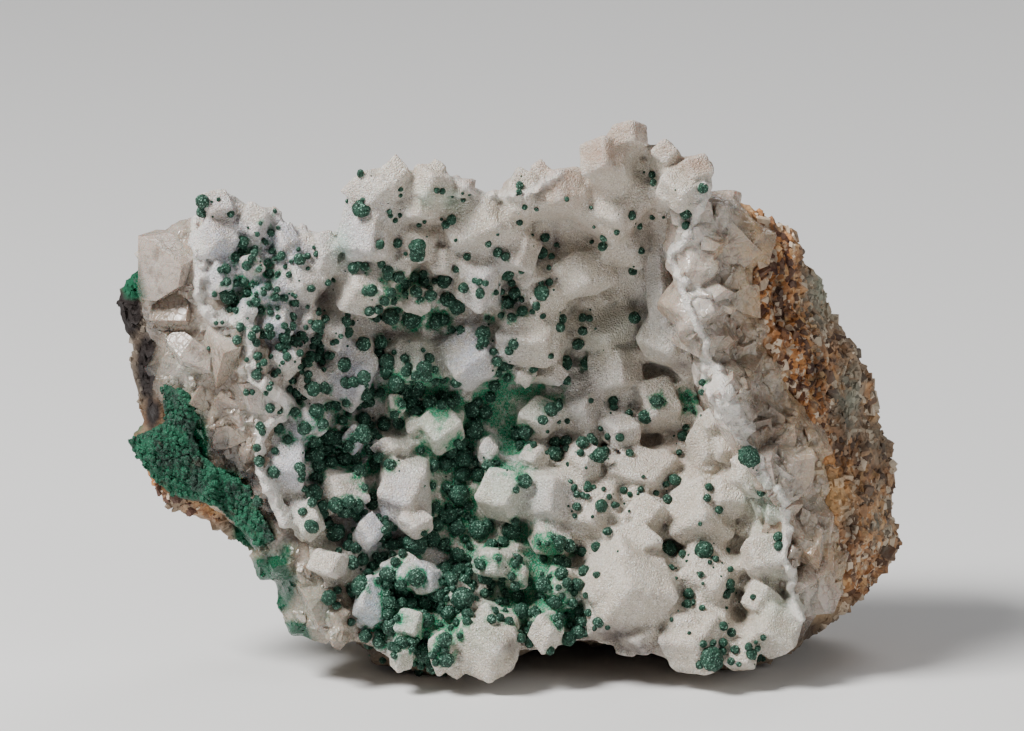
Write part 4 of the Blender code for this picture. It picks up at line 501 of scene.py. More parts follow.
BLOCK_STRETCHES = [
    (UPPER_LEFT_WALL, 16, 4, 8), (MIDDLE_LEFT_WALL, 16, 4, 8), (LOWER_LEFT_WALL, 14, 3, 6),
    (FOOT_LEFT_WALL, 14, 3, 6), (UPPER_RIGHT_WALL, 20, 4, 9), (MIDDLE_RIGHT_WALL, 16, 4, 8),
    (LOWER_RIGHT_WALL, 20, 4, 8), (FOOT_RIGHT_WALL, 16, 4, 8), (TOP_WALL, 20, 2.5, 4.5),
]
SMALL_BLOCK_STRETCHES = [(outline, count * 2, 1.6, 3.4) for outline, count, _, _ in BLOCK_STRETCHES]
# Larger blocks of quartz, flat-faced and clear of the rubble: across, up, size
BLOCKS = [
    (-50.5, 63, 8), (-50, 56, 7), (-44.8, 60.5, 5), (-41.4, 50.6, 8), (-47, 50, 7), (-41.6, 43, 6.4),
    (-36.6, 43.4, 5), (-42, 37.4, 5.4), (-38, 33, 5), (-33.4, 17.6, 5), (-29, 13, 6), (-27.6, 8.4, 5),
    (29, 71, 8), (33.4, 65.4, 8), (30.6, 60, 6), (35.8, 57.6, 6.4), (32, 51.6, 7), (37.6, 49.6, 6.4),
    (35.4, 43.8, 6), (40.6, 40.6, 7), (38.6, 34.6, 6), (44, 33.6, 7), (46, 27, 7), (41.4, 29.4, 5),
    (47, 20.6, 7), (47.4, 13.6, 7), (44, 16, 5),
]
CHIP_STRETCHES = [
    (UPPER_LEFT_WALL, 60, 0.8, 3.4), (MIDDLE_LEFT_WALL, 44, 0.8, 3.4), (LOWER_LEFT_WALL, 90, 0.7, 2.6),
    (FOOT_LEFT_WALL, 70, 0.7, 2.6), (UPPER_RIGHT_WALL, 36, 0.8, 3.6), (MIDDLE_RIGHT_WALL, 64, 0.8, 4.4),
    (LOWER_RIGHT_WALL, 100, 0.8, 4.0), (FOOT_RIGHT_WALL, 44, 0.8, 3.6), (TOP_WALL, 50, 0.8, 2.2),
]
GRAIN_STRETCHES = [
    ([(37.5, 73), (37.5, 58), (41, 44), (47, 38), (49, 26), (51, 13), (45, 5), (52, 8), (60.5, 17),
      (61, 24), (59, 40), (50, 57), (42, 70)], 2500, 0.45, 1.7),
    ([(-58, 62), (-54, 68), (-52, 55), (-55, 40), (-58, 38), (-58.5, 52)], 220, 0.4, 1.6),
    ([(-57, 37), (-46, 28), (-38, 22), (-34, 16), (-32, 6), (-40, 20), (-52, 27)], 220, 0.4, 1.6),
]

# The white rind where the druse breaks off along the rim: lines of places, and their width
RINDS = [
    ([(30, 75), (29.5, 73), (28.5, 70.5), (27.5, 68), (26, 66), (25, 65), (25.5, 63.7),
      (25.9, 61.8), (27, 60.8), (26.5, 59.5), (27.8, 56.3), (29, 53.5), (30, 51.7), (29.6, 49),
      (30.2, 48), (30, 46), (31.3, 43.3), (32, 42.3), (31.8, 41.3), (33.5, 40), (35.3, 37.5),
      (37.3, 35.2), (38, 34), (38.5, 32), (40, 30.5), (42, 28), (42.5, 25), (42.3, 22),
      (41.5, 20), (43, 17.3), (43.5, 12), (44.5, 9.5)], 1.5),
    ([(31.5, 47.5), (32.6, 45.4), (33.6, 42.6), (35.4, 39.6), (36.4, 38)], 2.4),
    ([(-46.5, 73), (-46, 70), (-46.6, 68.5), (-46.2, 66.7), (-45.2, 63.2), (-46, 60),
      (-45.4, 57), (-43, 54.6), (-38.6, 54.8), (-38.1, 52), (-38, 49), (-38, 46.6)], 1.7),
    ([(-38, 46.5), (-35.6, 45), (-33, 43), (-32, 41.6), (-34.6, 40.4), (-36.4, 39), (-37, 35.6),
      (-36, 31), (-34, 27), (-32.4, 24)], 1.9),
    ([(-8, 76.6), (-5, 74.2), (-1, 73.4), (3, 73.8), (6.4, 75.6), (9, 77.4)], 0.9),
]

# The hollow's own outline, the velvet patch, and the groups that the balls are joined in
HOLLOW = [
    (-46, 72), (-33, 73), (-25, 68), (-22, 77), (-8, 77), (8, 78), (18, 85), (28, 79), (30, 73),
    (25, 64), (30, 51), (31, 43), (38, 33), (42, 26), (43, 14), (45, 6), (36, 1), (20, 4),
    (4, 5), (-8, 0), (-18, 3), (-26, 12), (-33, 24), (-36, 36), (-37, 48), (-43, 56),
]
VELVET = [
    (-51.7, 45.5), (-49.5, 45), (-47.5, 44), (-46, 42), (-45.8, 40.3), (-47, 38), (-46.5, 36),
    (-45.5, 34.5), (-43.5, 33), (-41, 31.5), (-38, 30), (-36, 27), (-34, 25), (-33, 22),
    (-37, 21), (-40, 22.5), (-42.5, 25), (-43.5, 27), (-46.5, 28), (-50, 28.5), (-52, 29.5),
    (-53.5, 31.5), (-55, 33), (-57.5, 36.8), (-55.5, 37.3), (-53, 38.5), (-51, 39.5),
    (-51.5, 42),
]
BALL_GROUPS = [f"balls_{level}_{side}" for level in ("upper", "middle", "lower")
               for side in ("left", "middle", "right")]

ball_places = []  # centre and radius of every ball that has been put down


def place(across, up, back):
    """A place read from the front, in millimetres, as a point of the frame."""
    height = (up + FOOT_RISE - back * math.sin(VIEW_SLOPE)) / math.cos(VIEW_SLOPE)
    return Vector((across - ORIGIN_ACROSS, back - ORIGIN_BACK, height)) * MM


def seen(points):
    """Across, up and back of each point of the frame, in millimetres."""
    across = points[:, 0] / MM + ORIGIN_ACROSS
    back = points[:, 1] / MM + ORIGIN_BACK
    up = points[:, 2] / MM * math.cos(VIEW_SLOPE) + back * math.sin(VIEW_SLOPE) - FOOT_RISE
    return across, up, back


def deselect_all():
    for obj in bpy.context.view_layer.objects:
        obj.select_set(False)


def select_only(*objects):
    deselect_all()
    for obj in objects:
        obj.select_set(True)
    bpy.context.view_layer.objects.active = objects[0]


def edit(obj):
    select_only(obj)
    bpy.ops.object.mode_set(mode="EDIT")
    bpy.ops.mesh.select_all(action="SELECT")


def leave_edit():
    bpy.ops.object.mode_set(mode="OBJECT")


def modify(obj, kind, **settings):
    """Adds one modifier with these settings and applies it."""
    added = obj.modifiers.new(kind.lower(), kind)
    for key, value in settings.items():
        setattr(added, key, value)
    select_only(obj)
    bpy.ops.object.modifier_apply(modifier=added.name)


def remesh(obj, grain):
    modify(obj, "REMESH", mode="VOXEL", voxel_size=grain)


def smooth(obj, rounds):
    modify(obj, "SMOOTH", iterations=rounds)


def displace_along(obj, distance):
    """Moves the whole surface along its normals."""
    modify(obj, "DISPLACE", strength=distance, mid_level=0.0)


def displace(obj, size, height, depth=2):
    """Roughens a surface with cloudy noise of this size."""
    clouds = bpy.data.textures.new(f"clouds_{size / MM:.1f}", "CLOUDS")
    clouds.noise_scale = size
    clouds.noise_depth = depth
    modify(obj, "DISPLACE", texture=clouds, texture_coords="LOCAL", strength=height, mid_level=0.5)


def merged_copy(node, name):
    """A closed, welded copy of a node of the frame, to be shaped."""
    obj = bpy.data.objects.new(name, frame["nodes"][node].data.copy())
    bpy.context.scene.collection.objects.link(obj)
    obj.data.materials.clear()
    edit(obj)
    bpy.ops.mesh.remove_doubles(threshold=0.001 * MM)
    bpy.ops.mesh.normals_make_consistent(inside=False)
    leave_edit()
    return obj


def joined(objects, name):
    """One object with the meshes of all of these."""
    select_only(*objects)
    if len(objects) > 1:
        bpy.ops.object.join()
    obj = bpy.context.view_layer.objects.active
    obj.name = name
    obj.data.name = name
    return obj


def any_turn(draw):
    """A turn about all three axes, drawn at random."""
    return Euler([draw.uniform(0, math.tau) for _ in range(3)]).to_matrix().to_4x4()


def stamped(shape, matrix):
    """A copy of a shape, put in place in its own mesh."""
    obj = bpy.data.objects.new(shape.name, shape.data.copy())
    obj.data.transform(matrix)
    bpy.context.scene.collection.objects.link(obj)
    return obj


def drop(objects):
    for obj in objects:
        bpy.data.objects.remove(obj, do_unlink=True)


def points_of(obj):
    co = np.empty(len(obj.data.vertices) * 3, np.float32)
    obj.data.vertices.foreach_get("co", co)
    return co.reshape(-1, 3).astype(float)


def normals_of(obj):
    vectors = np.empty(len(obj.data.vertices) * 3, np.float32)
    obj.data.vertex_normals.foreach_get("vector", vectors)
    return vectors.reshape(-1, 3).astype(float)


def tree_of(obj):
    obj.data.calc_loop_triangles()
    corners = np.empty(len(obj.data.loop_triangles) * 3, np.int32)
    obj.data.loop_triangles.foreach_get("vertices", corners)
    return BVHTree.FromPolygons(points_of(obj).tolist(), corners.reshape(-1, 3).tolist())


def seen_from_front(trees, across, up):
    """The first point, with its normal, that the view meets at this place."""
    start = place(across, up, START_BACK)
    nearest = (None, None, math.inf)
    for tree in trees:
        hit, normal, _, distance = tree.ray_cast(start, VIEW)
        if hit is not None and distance < nearest[2]:
            nearest = (hit, normal, distance)
    hit, normal, _ = nearest
    if hit is not None and normal.dot(VIEW) > 0:
        normal = -normal
    return hit, normal


def inside(outline, across, up):
    """Whether a place lies inside an outline."""
    crossings = 0
    for (x0, y0), (x1, y1) in zip(outline, outline[1:] + outline[:1]):
        if (y0 > up) != (y1 > up) and across < x0 + (up - y0) / (y1 - y0) * (x1 - x0):
            crossings += 1
    return crossings % 2 == 1


def outline_round(across, up):
    """A tiny outline round one place."""
    return [(across - 0.1, up - 0.1), (across + 0.1, up - 0.1), (across, up + 0.1)]


def along(line, step):
    """Places along a line, one step apart."""
    for (x0, y0), (x1, y1) in zip(line, line[1:]):
        count = max(1, round(math.hypot(x1 - x0, y1 - y0) / step))
        for part in range(count):
            yield x0 + (x1 - x0) * part / count, y0 + (y1 - y0) * part / count


def places_inside(outline, count, draw):
    """Places drawn evenly inside an outline."""
    lows = [min(p[k] for p in outline) for k in (0, 1)]
    highs = [max(p[k] for p in outline) for k in (0, 1)]
    found = []
    while len(found) < count:
        spot = (draw.uniform(lows[0], highs[0]), draw.uniform(lows[1], highs[1]))
        if inside(outline, *spot):
            found.append(spot)
    return found


def patches_over(points, patches):
    """How strongly each point lies in one of the patches, from 0 to 1."""
    across, up, _ = seen(points)
    most = np.zeros(len(points))
    for x, y, half_width, half_height, strength in patches:
        away = ((across - x) / half_width) ** 2 + ((up - y) / half_height) ** 2
        most = np.maximum(most, strength * np.exp(-away))
    return most


def hollows_of(obj, rounds):
    """How deep each vertex lies below its surroundings, in millimetres; ridges are negative."""
    points = points_of(obj)
    ends = np.empty(len(obj.data.edges) * 2, np.int32)
    obj.data.edges.foreach_get("vertices", ends)
    one, other = ends[0::2], ends[1::2]
    count = np.bincount(one, minlength=len(points)) + np.bincount(other, minlength=len(points))
    even = points.copy()
    for _ in range(rounds):
        total = np.stack([
            np.bincount(one, even[other, k], len(points)) + np.bincount(other, even[one, k], len(points))
            for k in range(3)
        ], axis=1)
        even = (even + total / count[:, None]) / 2
    return ((even - points) * normals_of(obj)).sum(axis=1) / MM


def store(obj, name, values):
    """Keeps one number for each vertex, for the materials."""
    attribute = obj.data.attributes.new(name, "FLOAT", "POINT")
    attribute.data.foreach_set("value", np.asarray(values, np.float32))


def distance_to_balls(points):
    """From each point to the nearest ball's surface, in millimetres."""
    tree = KDTree(len(ball_places))
    for number, (centre, _) in enumerate(ball_places):
        tree.insert(centre, number)
    tree.balance()
    found = np.empty(len(points))
    for number, point in enumerate(points):
        _, which, away = tree.find(point)
        found[number] = (away - ball_places[which][1]) / MM
    return found


def tip_shape(name, flatness, rounding, root):
    """A blunt crystal tip, one unit wide: a rounded cube on its corner, with its point up."""
    deselect_all()
    bpy.ops.mesh.primitive_cube_add(size=TIP_EDGE)
    obj = bpy.context.active_object
    obj.name = name
    edit(obj)
    bpy.ops.mesh.bevel(offset=rounding, segments=3, affect="EDGES")
    leave_edit()
    on_corner = Vector((1, 1, 1)).rotation_difference(Vector((0, 0, 1))).to_matrix().to_4x4()
    obj.data.transform(Matrix.Diagonal((1, 1, flatness, 1)) @ on_corner)
    for vert in obj.data.vertices:
        if vert.co.z < -TIP_EDGE * flatness / 2:
            vert.co.z -= root
    return obj


def upright(across_way, up_way, spin, size):
    """Turns a tip that points up towards the viewer, leant aside and upwards by these angles."""
    turning = Euler((math.radians(90 + up_way), 0, math.radians(across_way)), "XYZ")
    return (turning.to_matrix().to_4x4() @ Matrix.Diagonal((*size, 1))
            @ Matrix.Rotation(math.radians(spin), 4, "Z"))


def chip_shape(name, cuts, draw):
    """An angular chip: a cube with its corners broken off along flat planes."""
    deselect_all()
    bpy.ops.mesh.primitive_cube_add(size=1)
    obj = bpy.context.active_object
    obj.name = name
    edit(obj)
    for _ in range(cuts):
        way = Vector([draw.gauss(0, 1) for _ in range(3)]).normalized()
        bpy.ops.mesh.select_all(action="SELECT")
        bpy.ops.mesh.bisect(plane_co=way * draw.uniform(0.33, 0.5), plane_no=way,
                            use_fill=True, clear_outer=True)
    leave_edit()
    return obj


def ball_shape(name, detail, bumps, height, shift):
    """A ball, one unit across, with an uneven skin; shift picks another part of the noise."""
    deselect_all()
    bpy.ops.mesh.primitive_ico_sphere_add(subdivisions=detail, radius=0.5, location=(shift, 0, 0))
    obj = bpy.context.active_object
    obj.name = name
    bpy.ops.object.transform_apply(location=True, rotation=False, scale=False)
    displace(obj, bumps, height, 1)
    obj.data.transform(Matrix.Translation((-shift, 0, 0)))
    return obj


def group_with(name, inputs, outputs):
    """A shader node group with these named sockets, and its input and output nodes."""
    group = bpy.data.node_groups.new(name, "ShaderNodeTree")
    for socket, kind, default in inputs:
        made = group.interface.new_socket(socket, in_out="INPUT", socket_type=kind)
        if default is not None:
            made.default_value = default
    for socket, kind in outputs:
        group.interface.new_socket(socket, in_out="OUTPUT", socket_type=kind)
    return group, group.nodes.new("NodeGroupInput"), group.nodes.new("NodeGroupOutput")


def noise_node(tree, vector, scale, detail=3.0, roughness=0.55):
    node = tree.nodes.new("ShaderNodeTexNoise")
    node.inputs["Scale"].default_value = scale
    node.inputs["Detail"].default_value = detail
    node.inputs["Roughness"].default_value = roughness
    tree.links.new(vector, node.inputs["Vector"])
    return node.outputs["Fac"]


def voronoi_node(tree, vector, scale, feature="F1"):
    node = tree.nodes.new("ShaderNodeTexVoronoi")
    node.feature = feature
    node.inputs["Scale"].default_value = scale
    tree.links.new(vector, node.inputs["Vector"])
    return node.outputs["Distance"]


def ramp_node(tree, value, low, high, bottom=0.0, top=1.0):
    """The value, stretched so that low becomes bottom and high becomes top."""
    node = tree.nodes.new("ShaderNodeMapRange")
    for socket, number in zip(("From Min", "From Max", "To Min", "To Max"), (low, high, bottom, top)):
        node.inputs[socket].default_value = number
    tree.links.new(value, node.inputs["Value"])
    return node.outputs["Result"]


def math_node(tree, operation, one, other):
    node = tree.nodes.new("ShaderNodeMath")
    node.operation = operation
    for socket, value in zip(node.inputs, (one, other)):
        if isinstance(value, (int, float)):
            socket.default_value = value
        else:
            tree.links.new(value, socket)
    return node.outputs[0]


def times(tree, one, other):
    return math_node(tree, "MULTIPLY", one, other)


def plus(tree, one, other):
    return math_node(tree, "ADD", one, other)


def mix_node(tree, amount, one, other):
    """A mix of two colours, each a socket or four numbers."""
    node = tree.nodes.new("ShaderNodeMix")
    node.data_type = "RGBA"
    sockets = {s.identifier: s for s in node.inputs}
    for name, value in (("Factor_Float", amount), ("A_Color", one), ("B_Color", other)):
        if isinstance(value, bpy.types.NodeSocket):
            tree.links.new(value, sockets[name])
        else:
            sockets[name].default_value = value
    return {s.identifier: s for s in node.outputs}["Result_Color"]


def attribute_node(tree, name):
    node = tree.nodes.new("ShaderNodeAttribute")
    node.attribute_name = name
    return node.outputs["Fac"]


def object_place(tree):
    return tree.nodes.new("ShaderNodeTexCoord").outputs["Object"]


def bump_node(tree, height, distance, strength):
    node = tree.nodes.new("ShaderNodeBump")
    node.inputs["Distance"].default_value = distance
    node.inputs["Strength"].default_value = strength
    tree.links.new(height, node.inputs["Height"])
    return node.outputs["Normal"]


def used(tree, group, **values):
    """A shader group placed in a material with its own values."""
    node = tree.nodes.new("ShaderNodeGroup")
    node.node_tree = group
    for name, value in values.items():
        socket = node.inputs[name.replace("_", " ")]
        if isinstance(value, bpy.types.NodeSocket):
            tree.links.new(value, socket)
        else:
            socket.default_value = value
    return node.outputs


def sugar_group():
    """The grain of tiny crystals: a height, a glitter mask, the odd dark speck and a shade for each."""
    if "sugar_grain" in bpy.data.node_groups:
        return bpy.data.node_groups["sugar_grain"]
    group, start, end = group_with(
        "sugar_grain",
        [("Place", "NodeSocketVector", None), ("Grain per Metre", "NodeSocketFloat", 3400.0)],
        [("Height", "NodeSocketFloat"), ("Glitter", "NodeSocketFloat"), ("Speck", "NodeSocketFloat"),
         ("Shade", "NodeSocketFloat")],
    )
    cells = group.nodes.new("ShaderNodeTexVoronoi")
    fine = group.nodes.new("ShaderNodeTexVoronoi")
    link = group.links.new
    for node in (cells, fine):
        link(start.outputs["Place"], node.inputs["Vector"])
    link(start.outputs["Grain per Metre"], cells.inputs["Scale"])
    link(times(group, start.outputs["Grain per Metre"], 1.9), fine.inputs["Scale"])
    link(plus(group, times(group, cells.outputs["Distance"], -1.0),
              times(group, fine.outputs["Distance"], -0.5)), end.inputs["Height"])
    split = group.nodes.new("ShaderNodeSeparateColor")
    link(fine.outputs["Color"], split.inputs[0])
    link(ramp_node(group, split.outputs[0], 0.88, 0.96), end.inputs["Glitter"])
    link(ramp_node(group, split.outputs[1], 0.94, 0.975), end.inputs["Speck"])
    link(split.outputs[2], end.inputs["Shade"])
    return group


def mottle_group():
    """Uneven colour at two sizes, from 0 to 1."""
    if "mottle" in bpy.data.node_groups:
        return bpy.data.node_groups["mottle"]
    group, start, end = group_with(
        "mottle",
        [("Place", "NodeSocketVector", None), ("Coarse", "NodeSocketFloat", 200.0),
         ("Fine", "NodeSocketFloat", 1500.0)],
        [("Value", "NodeSocketFloat")],
    )
    values = []
    for name, detail in (("Coarse", 4.0), ("Fine", 2.0)):
        node = group.nodes.new("ShaderNodeTexNoise")
        node.inputs["Detail"].default_value = detail
        group.links.new(start.outputs["Place"], node.inputs["Vector"])
        group.links.new(start.outputs[name], node.inputs["Scale"])
        values.append(node.outputs["Fac"])
    both = plus(group, times(group, values[0], 0.65), times(group, values[1], 0.35))
    group.links.new(ramp_node(group, both, 0.33, 0.67), end.inputs["Value"])
    return group


def new_material(name, roughness, **uniform):
    """An empty material with a Principled shader, whose even values are set here."""
    material = bpy.data.materials.new(name)
    material.use_nodes = True
    shader = material.node_tree.nodes["Principled BSDF"]
    shader.inputs["Roughness"].default_value = roughness
    for socket, value in uniform.items():
        shader.inputs[socket.replace("_", " ")].default_value = value
    return material, material.node_tree, shader


def paint(tree, colour, layers):
    """The colour with each (mask, colour) layer laid over it in turn."""
    for mask, layer in layers:
        colour = mix_node(tree, mask, colour, layer)
    return colour


def rgba(colour):
    return (*colour, 1.0)


def wear(obj, material):
    obj.data.materials.clear()
    obj.data.materials.append(material)


def colour_property(name, description, default):
    return bpy.props.FloatVectorProperty(
        name=name, description=description, default=default, size=3, min=0, max=1, subtype="COLOR")


def length_property(name, description, millimetres):
    return bpy.props.FloatProperty(
        name=name, description=description, default=millimetres * MM, min=0.05 * MM, precision=5,
        subtype="DISTANCE", unit="LENGTH")


class DruseSettings(bpy.types.PropertyGroup):
    grain: length_property("Surface grain", "Edge of one face of the crystals' skin", 0.41)
    small_from: length_property("Smallest crystal", "Width of the smallest filling crystal", 1.5)
    small_to: length_property("Largest filler", "Width of the largest filling crystal", 4.2)
    proud: length_property("Stand proud", "How far a crystal stands in front of its node", 0.7)
    sunk: length_property("Sunk", "How far the bed lies behind the crystals' feet", 2.0)
    fillers: bpy.props.IntProperty(
        name="Filling crystals", description="Tries for a small crystal in a hollow", default=700)
    warm: colour_property("Warm white", "Colour of the druse", (0.64, 0.57, 0.47))
    # Painted reflection: the bluish tint laid on faces in the cool patches
    cool: colour_property("Cool white", "Bluish faces of the druse", (0.48, 0.52, 0.67))
    clear: colour_property("Clear", "Bare translucent quartz along the top", (0.41, 0.275, 0.205))
    bare: colour_property("Bare rock", "Broken brown rock under the crystals", (0.13, 0.10, 0.098))
    # Painted shade: the deep colour is laid into the gaps between the crystals
    deep: colour_property("Deep", "Colour down in the gaps", (0.075, 0.066, 0.054))
    stain: colour_property("Green stain", "Malachite film on the druse", (0.008, 0.25, 0.115))
    mint: colour_property("Pale green", "Faint tint of the druse", (0.25, 0.52, 0.39))


class MalachiteSettings(bpy.types.PropertyGroup):
    stand: bpy.props.FloatProperty(
        name="Stand", description="How far a ball's centre stands off, in diameters", default=0.26)
    specks: bpy.props.IntProperty(
        name="Specks", description="Tiny balls strewn near the others", default=240)
    ball: colour_property("Ball", "Dark green of a ball", (0.004, 0.030, 0.018))
    # Painted sheen: lighter grains laid on the balls as the sheen of their crystal tips
    painted_grain_sheen: colour_property("Grain", "Lighter grains on a ball", (0.07, 0.165, 0.12))
    velvet: colour_property("Velvet", "Green of the velvety patch", (0.003, 0.085, 0.040))


class RockSettings(bpy.types.PropertyGroup):
    wall_grain: length_property("Quartz grain", "Edge of one face of the quartz wall", 0.58)
    host_grain: length_property("Rock grain", "Edge of one face of the host rock", 0.8)
    quartz: colour_property("Quartz", "Colour of the broken quartz", (0.47, 0.38, 0.30))
    smoke: colour_property("Smoke", "Darker streaks in the quartz", (0.14, 0.092, 0.062))
    pale: colour_property("Pale quartz", "Fresh white breaks", (0.80, 0.72, 0.66))
    iron: colour_property("Iron stain", "Orange stain of the host rock", (0.56, 0.22, 0.06))
    ochre: colour_property("Ochre", "Yellow stain of the host rock", (0.72, 0.46, 0.22))
    rust: colour_property("Rust", "Purple-brown of the host rock", (0.075, 0.03, 0.024))
    sage: colour_property("Sage", "Pale green-grey of the host rock", (0.33, 0.34, 0.27))
    drab: colour_property("Drab", "Plain back of the host rock", (0.23, 0.165, 0.115))


class StageSettings(bpy.types.PropertyGroup):
    distance: bpy.props.FloatProperty(
        name="Camera distance", description="From the camera to the piece", default=2.0,
        unit="LENGTH", subtype="DISTANCE")
    floor: colour_property("Floor", "Colour of the floor", (0.78, 0.78, 0.78))
    key: bpy.props.FloatProperty(
        name="Key light", description="Strength of the lamp above, to the left", default=17.0)
    fill: bpy.props.FloatProperty(
        name="Fill light", description="Strength of the lamp to the right", default=2.2)
    sky: bpy.props.FloatProperty(
        name="Sky", description="Strength of the even light all round", default=0.09)


def druse_material(own):
    material, tree, shader = new_material(
        "druse", 0.5, Subsurface_Weight=0.1, Subsurface_Scale=1.2 * MM, Specular_IOR_Level=0.5)
    spot = object_place(tree)
    mottle = used(tree, mottle_group(), Place=spot, Coarse=230.0, Fine=1700.0)["Value"]
    sugar = used(tree, sugar_group(), Place=spot)
    cool, stain, mint, clear, bare, rind, ridge, gap = (attribute_node(tree, name) for name in (
        "cool", "stain", "mint", "clear", "bare", "rind", "ridge", "gap"))
    patchy = noise_node(tree, spot, 900.0, 4.0, 0.65)
    uneven = times(tree, math_node(tree, "SUBTRACT", patchy, 0.5), 1.1)
    film = ramp_node(tree, plus(tree, stain, uneven), 0.32, 0.62)
    colour = paint(tree, rgba(own.warm), [
        # Painted reflection: a bluish tint on the faces in the cool patches
        (times(tree, cool, ramp_node(tree, mottle, 0.15, 0.6, 0.35, 1.0)), rgba(own.cool)),
        (times(tree, mottle, 0.22), rgba(FROST_AND_RIDGE_HIGHLIGHT)),
        (times(tree, ramp_node(tree, mottle, 0.6, 0.0), 0.42), rgba(BEIGE)),
        (times(tree, mint, 0.75), rgba(own.mint)),
        (ramp_node(tree, sugar["Shade"], 0.5, 0.0, 0.0, 0.6), rgba(GRAIN_SHADE)),
        (ramp_node(tree, sugar["Glitter"], 0.0, 1.0, 0.0, 0.85), rgba(SPARKLE)),
        (times(tree, clear, ramp_node(tree, mottle, 0.2, 0.8, 1.0, 0.5)), rgba(own.clear)),
        (times(tree, bare, ramp_node(tree, patchy, 0.35, 0.65, 1.0, 0.55)), rgba(own.bare)),
        (times(tree, rind, 0.8), rgba(RIND_WHITE)),
        # Painted highlight: ridges and tips of the crystals are whitened
        (times(tree, ridge, 0.6), rgba(FROST_AND_RIDGE_HIGHLIGHT)),
        # Painted shade down in the gaps between the crystals
        (gap, rgba(own.deep)),
        (times(tree, film, ramp_node(tree, sugar["Shade"], 0.1, 0.45, 0.4, 1.0)), rgba(own.stain)),
        (times(tree, film, ramp_node(tree, sugar["Shade"], 0.75, 0.95, 0.0, 0.75)), rgba(FILM_SHADE)),
        (times(tree, film, ramp_node(tree, sugar["Glitter"], 0.0, 1.0, 0.0, 0.8)), rgba(FILM_GLINT)),
        (times(tree, sugar["Speck"], ramp_node(tree, patchy, 0.5, 0.7, 0.0, 0.7)), rgba(DARK_SPECK)),
    ])
    tree.links.new(colour, shader.inputs["Base Color"])
    tree.links.new(ramp_node(tree, sugar["Glitter"], 0.0, 1.0, 0.55, 0.16), shader.inputs["Roughness"])
    tree.links.new(bump_node(tree, sugar["Height"], 0.26 * MM, 0.95), shader.inputs["Normal"])
    return material


def ball_material(own):
    material, tree, shader = new_material("malachite_balls", 0.5, Specular_IOR_Level=0.3)
    spot = object_place(tree)
    sugar = used(tree, sugar_group(), Place=spot, Grain_per_Metre=3000.0)
    mottle = used(tree, mottle_group(), Place=spot, Coarse=420.0, Fine=3200.0)["Value"]
    colour = paint(tree, rgba(own.ball), [
        (times(tree, mottle, 0.5), rgba(BALL_TINT)),
        # Painted sheen: lighter grains on the balls, standing for the sheen of their crystal tips
        (ramp_node(tree, sugar["Shade"], 0.55, 1.0, 0.0, 0.5), rgba(own.painted_grain_sheen)),
        (ramp_node(tree, sugar["Shade"], 0.4, 0.0, 0.0, 0.8), rgba(BALL_SHADE)),
        (ramp_node(tree, sugar["Glitter"], 0.0, 1.0, 0.0, 0.8), rgba(BALL_GLINT)),
    ])
    tree.links.new(colour, shader.inputs["Base Color"])
    tree.links.new(bump_node(tree, sugar["Height"], 0.2 * MM, 0.9), shader.inputs["Normal"])
    return material


def quartz_material(own, green):
    material, tree, shader = new_material(
        "broken_quartz", 0.28, Transmission_Weight=0.3, IOR=1.54, Subsurface_Weight=0.15,
        Subsurface_Scale=2.5 * MM)
    spot = object_place(tree)
    mottle = used(tree, mottle_group(), Place=spot, Coarse=170.0, Fine=1300.0)["Value"]
    streak = noise_node(tree, spot, 420.0, 5.0, 0.7)
    tone, smoke, pale, sage, iron, dark, moss, gap = (attribute_node(tree, name) for name in (
        "tone", "smoke", "pale", "sage", "iron", "dark", "moss", "gap"))
    mossy = ramp_node(tree, plus(tree, moss, times(tree, streak, 0.5)), 0.55, 0.85)
    colour = paint(tree, rgba(own.quartz), [
        (ramp_node(tree, mottle, 0.5, 0.95, 0.0, 0.6), rgba(own.pale)),
        (ramp_node(tree, tone, 0.6, 1.0, 0.0, 0.6), rgba(own.pale)),
        (ramp_node(tree, streak, 0.50, 0.32, 0.0, 0.75), rgba(own.smoke)),
        (times(tree, smoke, ramp_node(tree, mottle, 0.1, 0.7, 1.0, 0.45)), rgba(own.smoke)),
        (times(tree, pale, ramp_node(tree, streak, 0.36, 0.5, 0.5, 1.0)), rgba(own.pale)),
        (times(tree, sage, ramp_node(tree, mottle, 0.2, 0.8, 1.0, 0.4)), rgba(own.sage)),
        (times(tree, iron, ramp_node(tree, streak, 0.35, 0.6, 0.2, 1.0)), rgba(own.ochre)),
        (times(tree, dark, ramp_node(tree, streak, 0.3, 0.6, 1.0, 0.7)), rgba(BLACK_QUARTZ)),
        (mossy, rgba(green)),
        # Painted shade in the cracks, in the smoke colour
        (gap, rgba(own.smoke)),
    ])
    tree.links.new(colour, shader.inputs["Base Color"])
    crack = voronoi_node(tree, spot, 900.0, "DISTANCE_TO_EDGE")
    rough = noise_node(tree, spot, 1400.0, 4.0, 0.7)
    height = plus(tree, ramp_node(tree, crack, 0.0, 0.12), rough)
    tree.links.new(bump_node(tree, height, 0.18 * MM, 0.35), shader.inputs["Normal"])
    tree.links.new(ramp_node(tree, rough, 0.35, 0.65, 0.08, 0.36), shader.inputs["Roughness"])
    return material


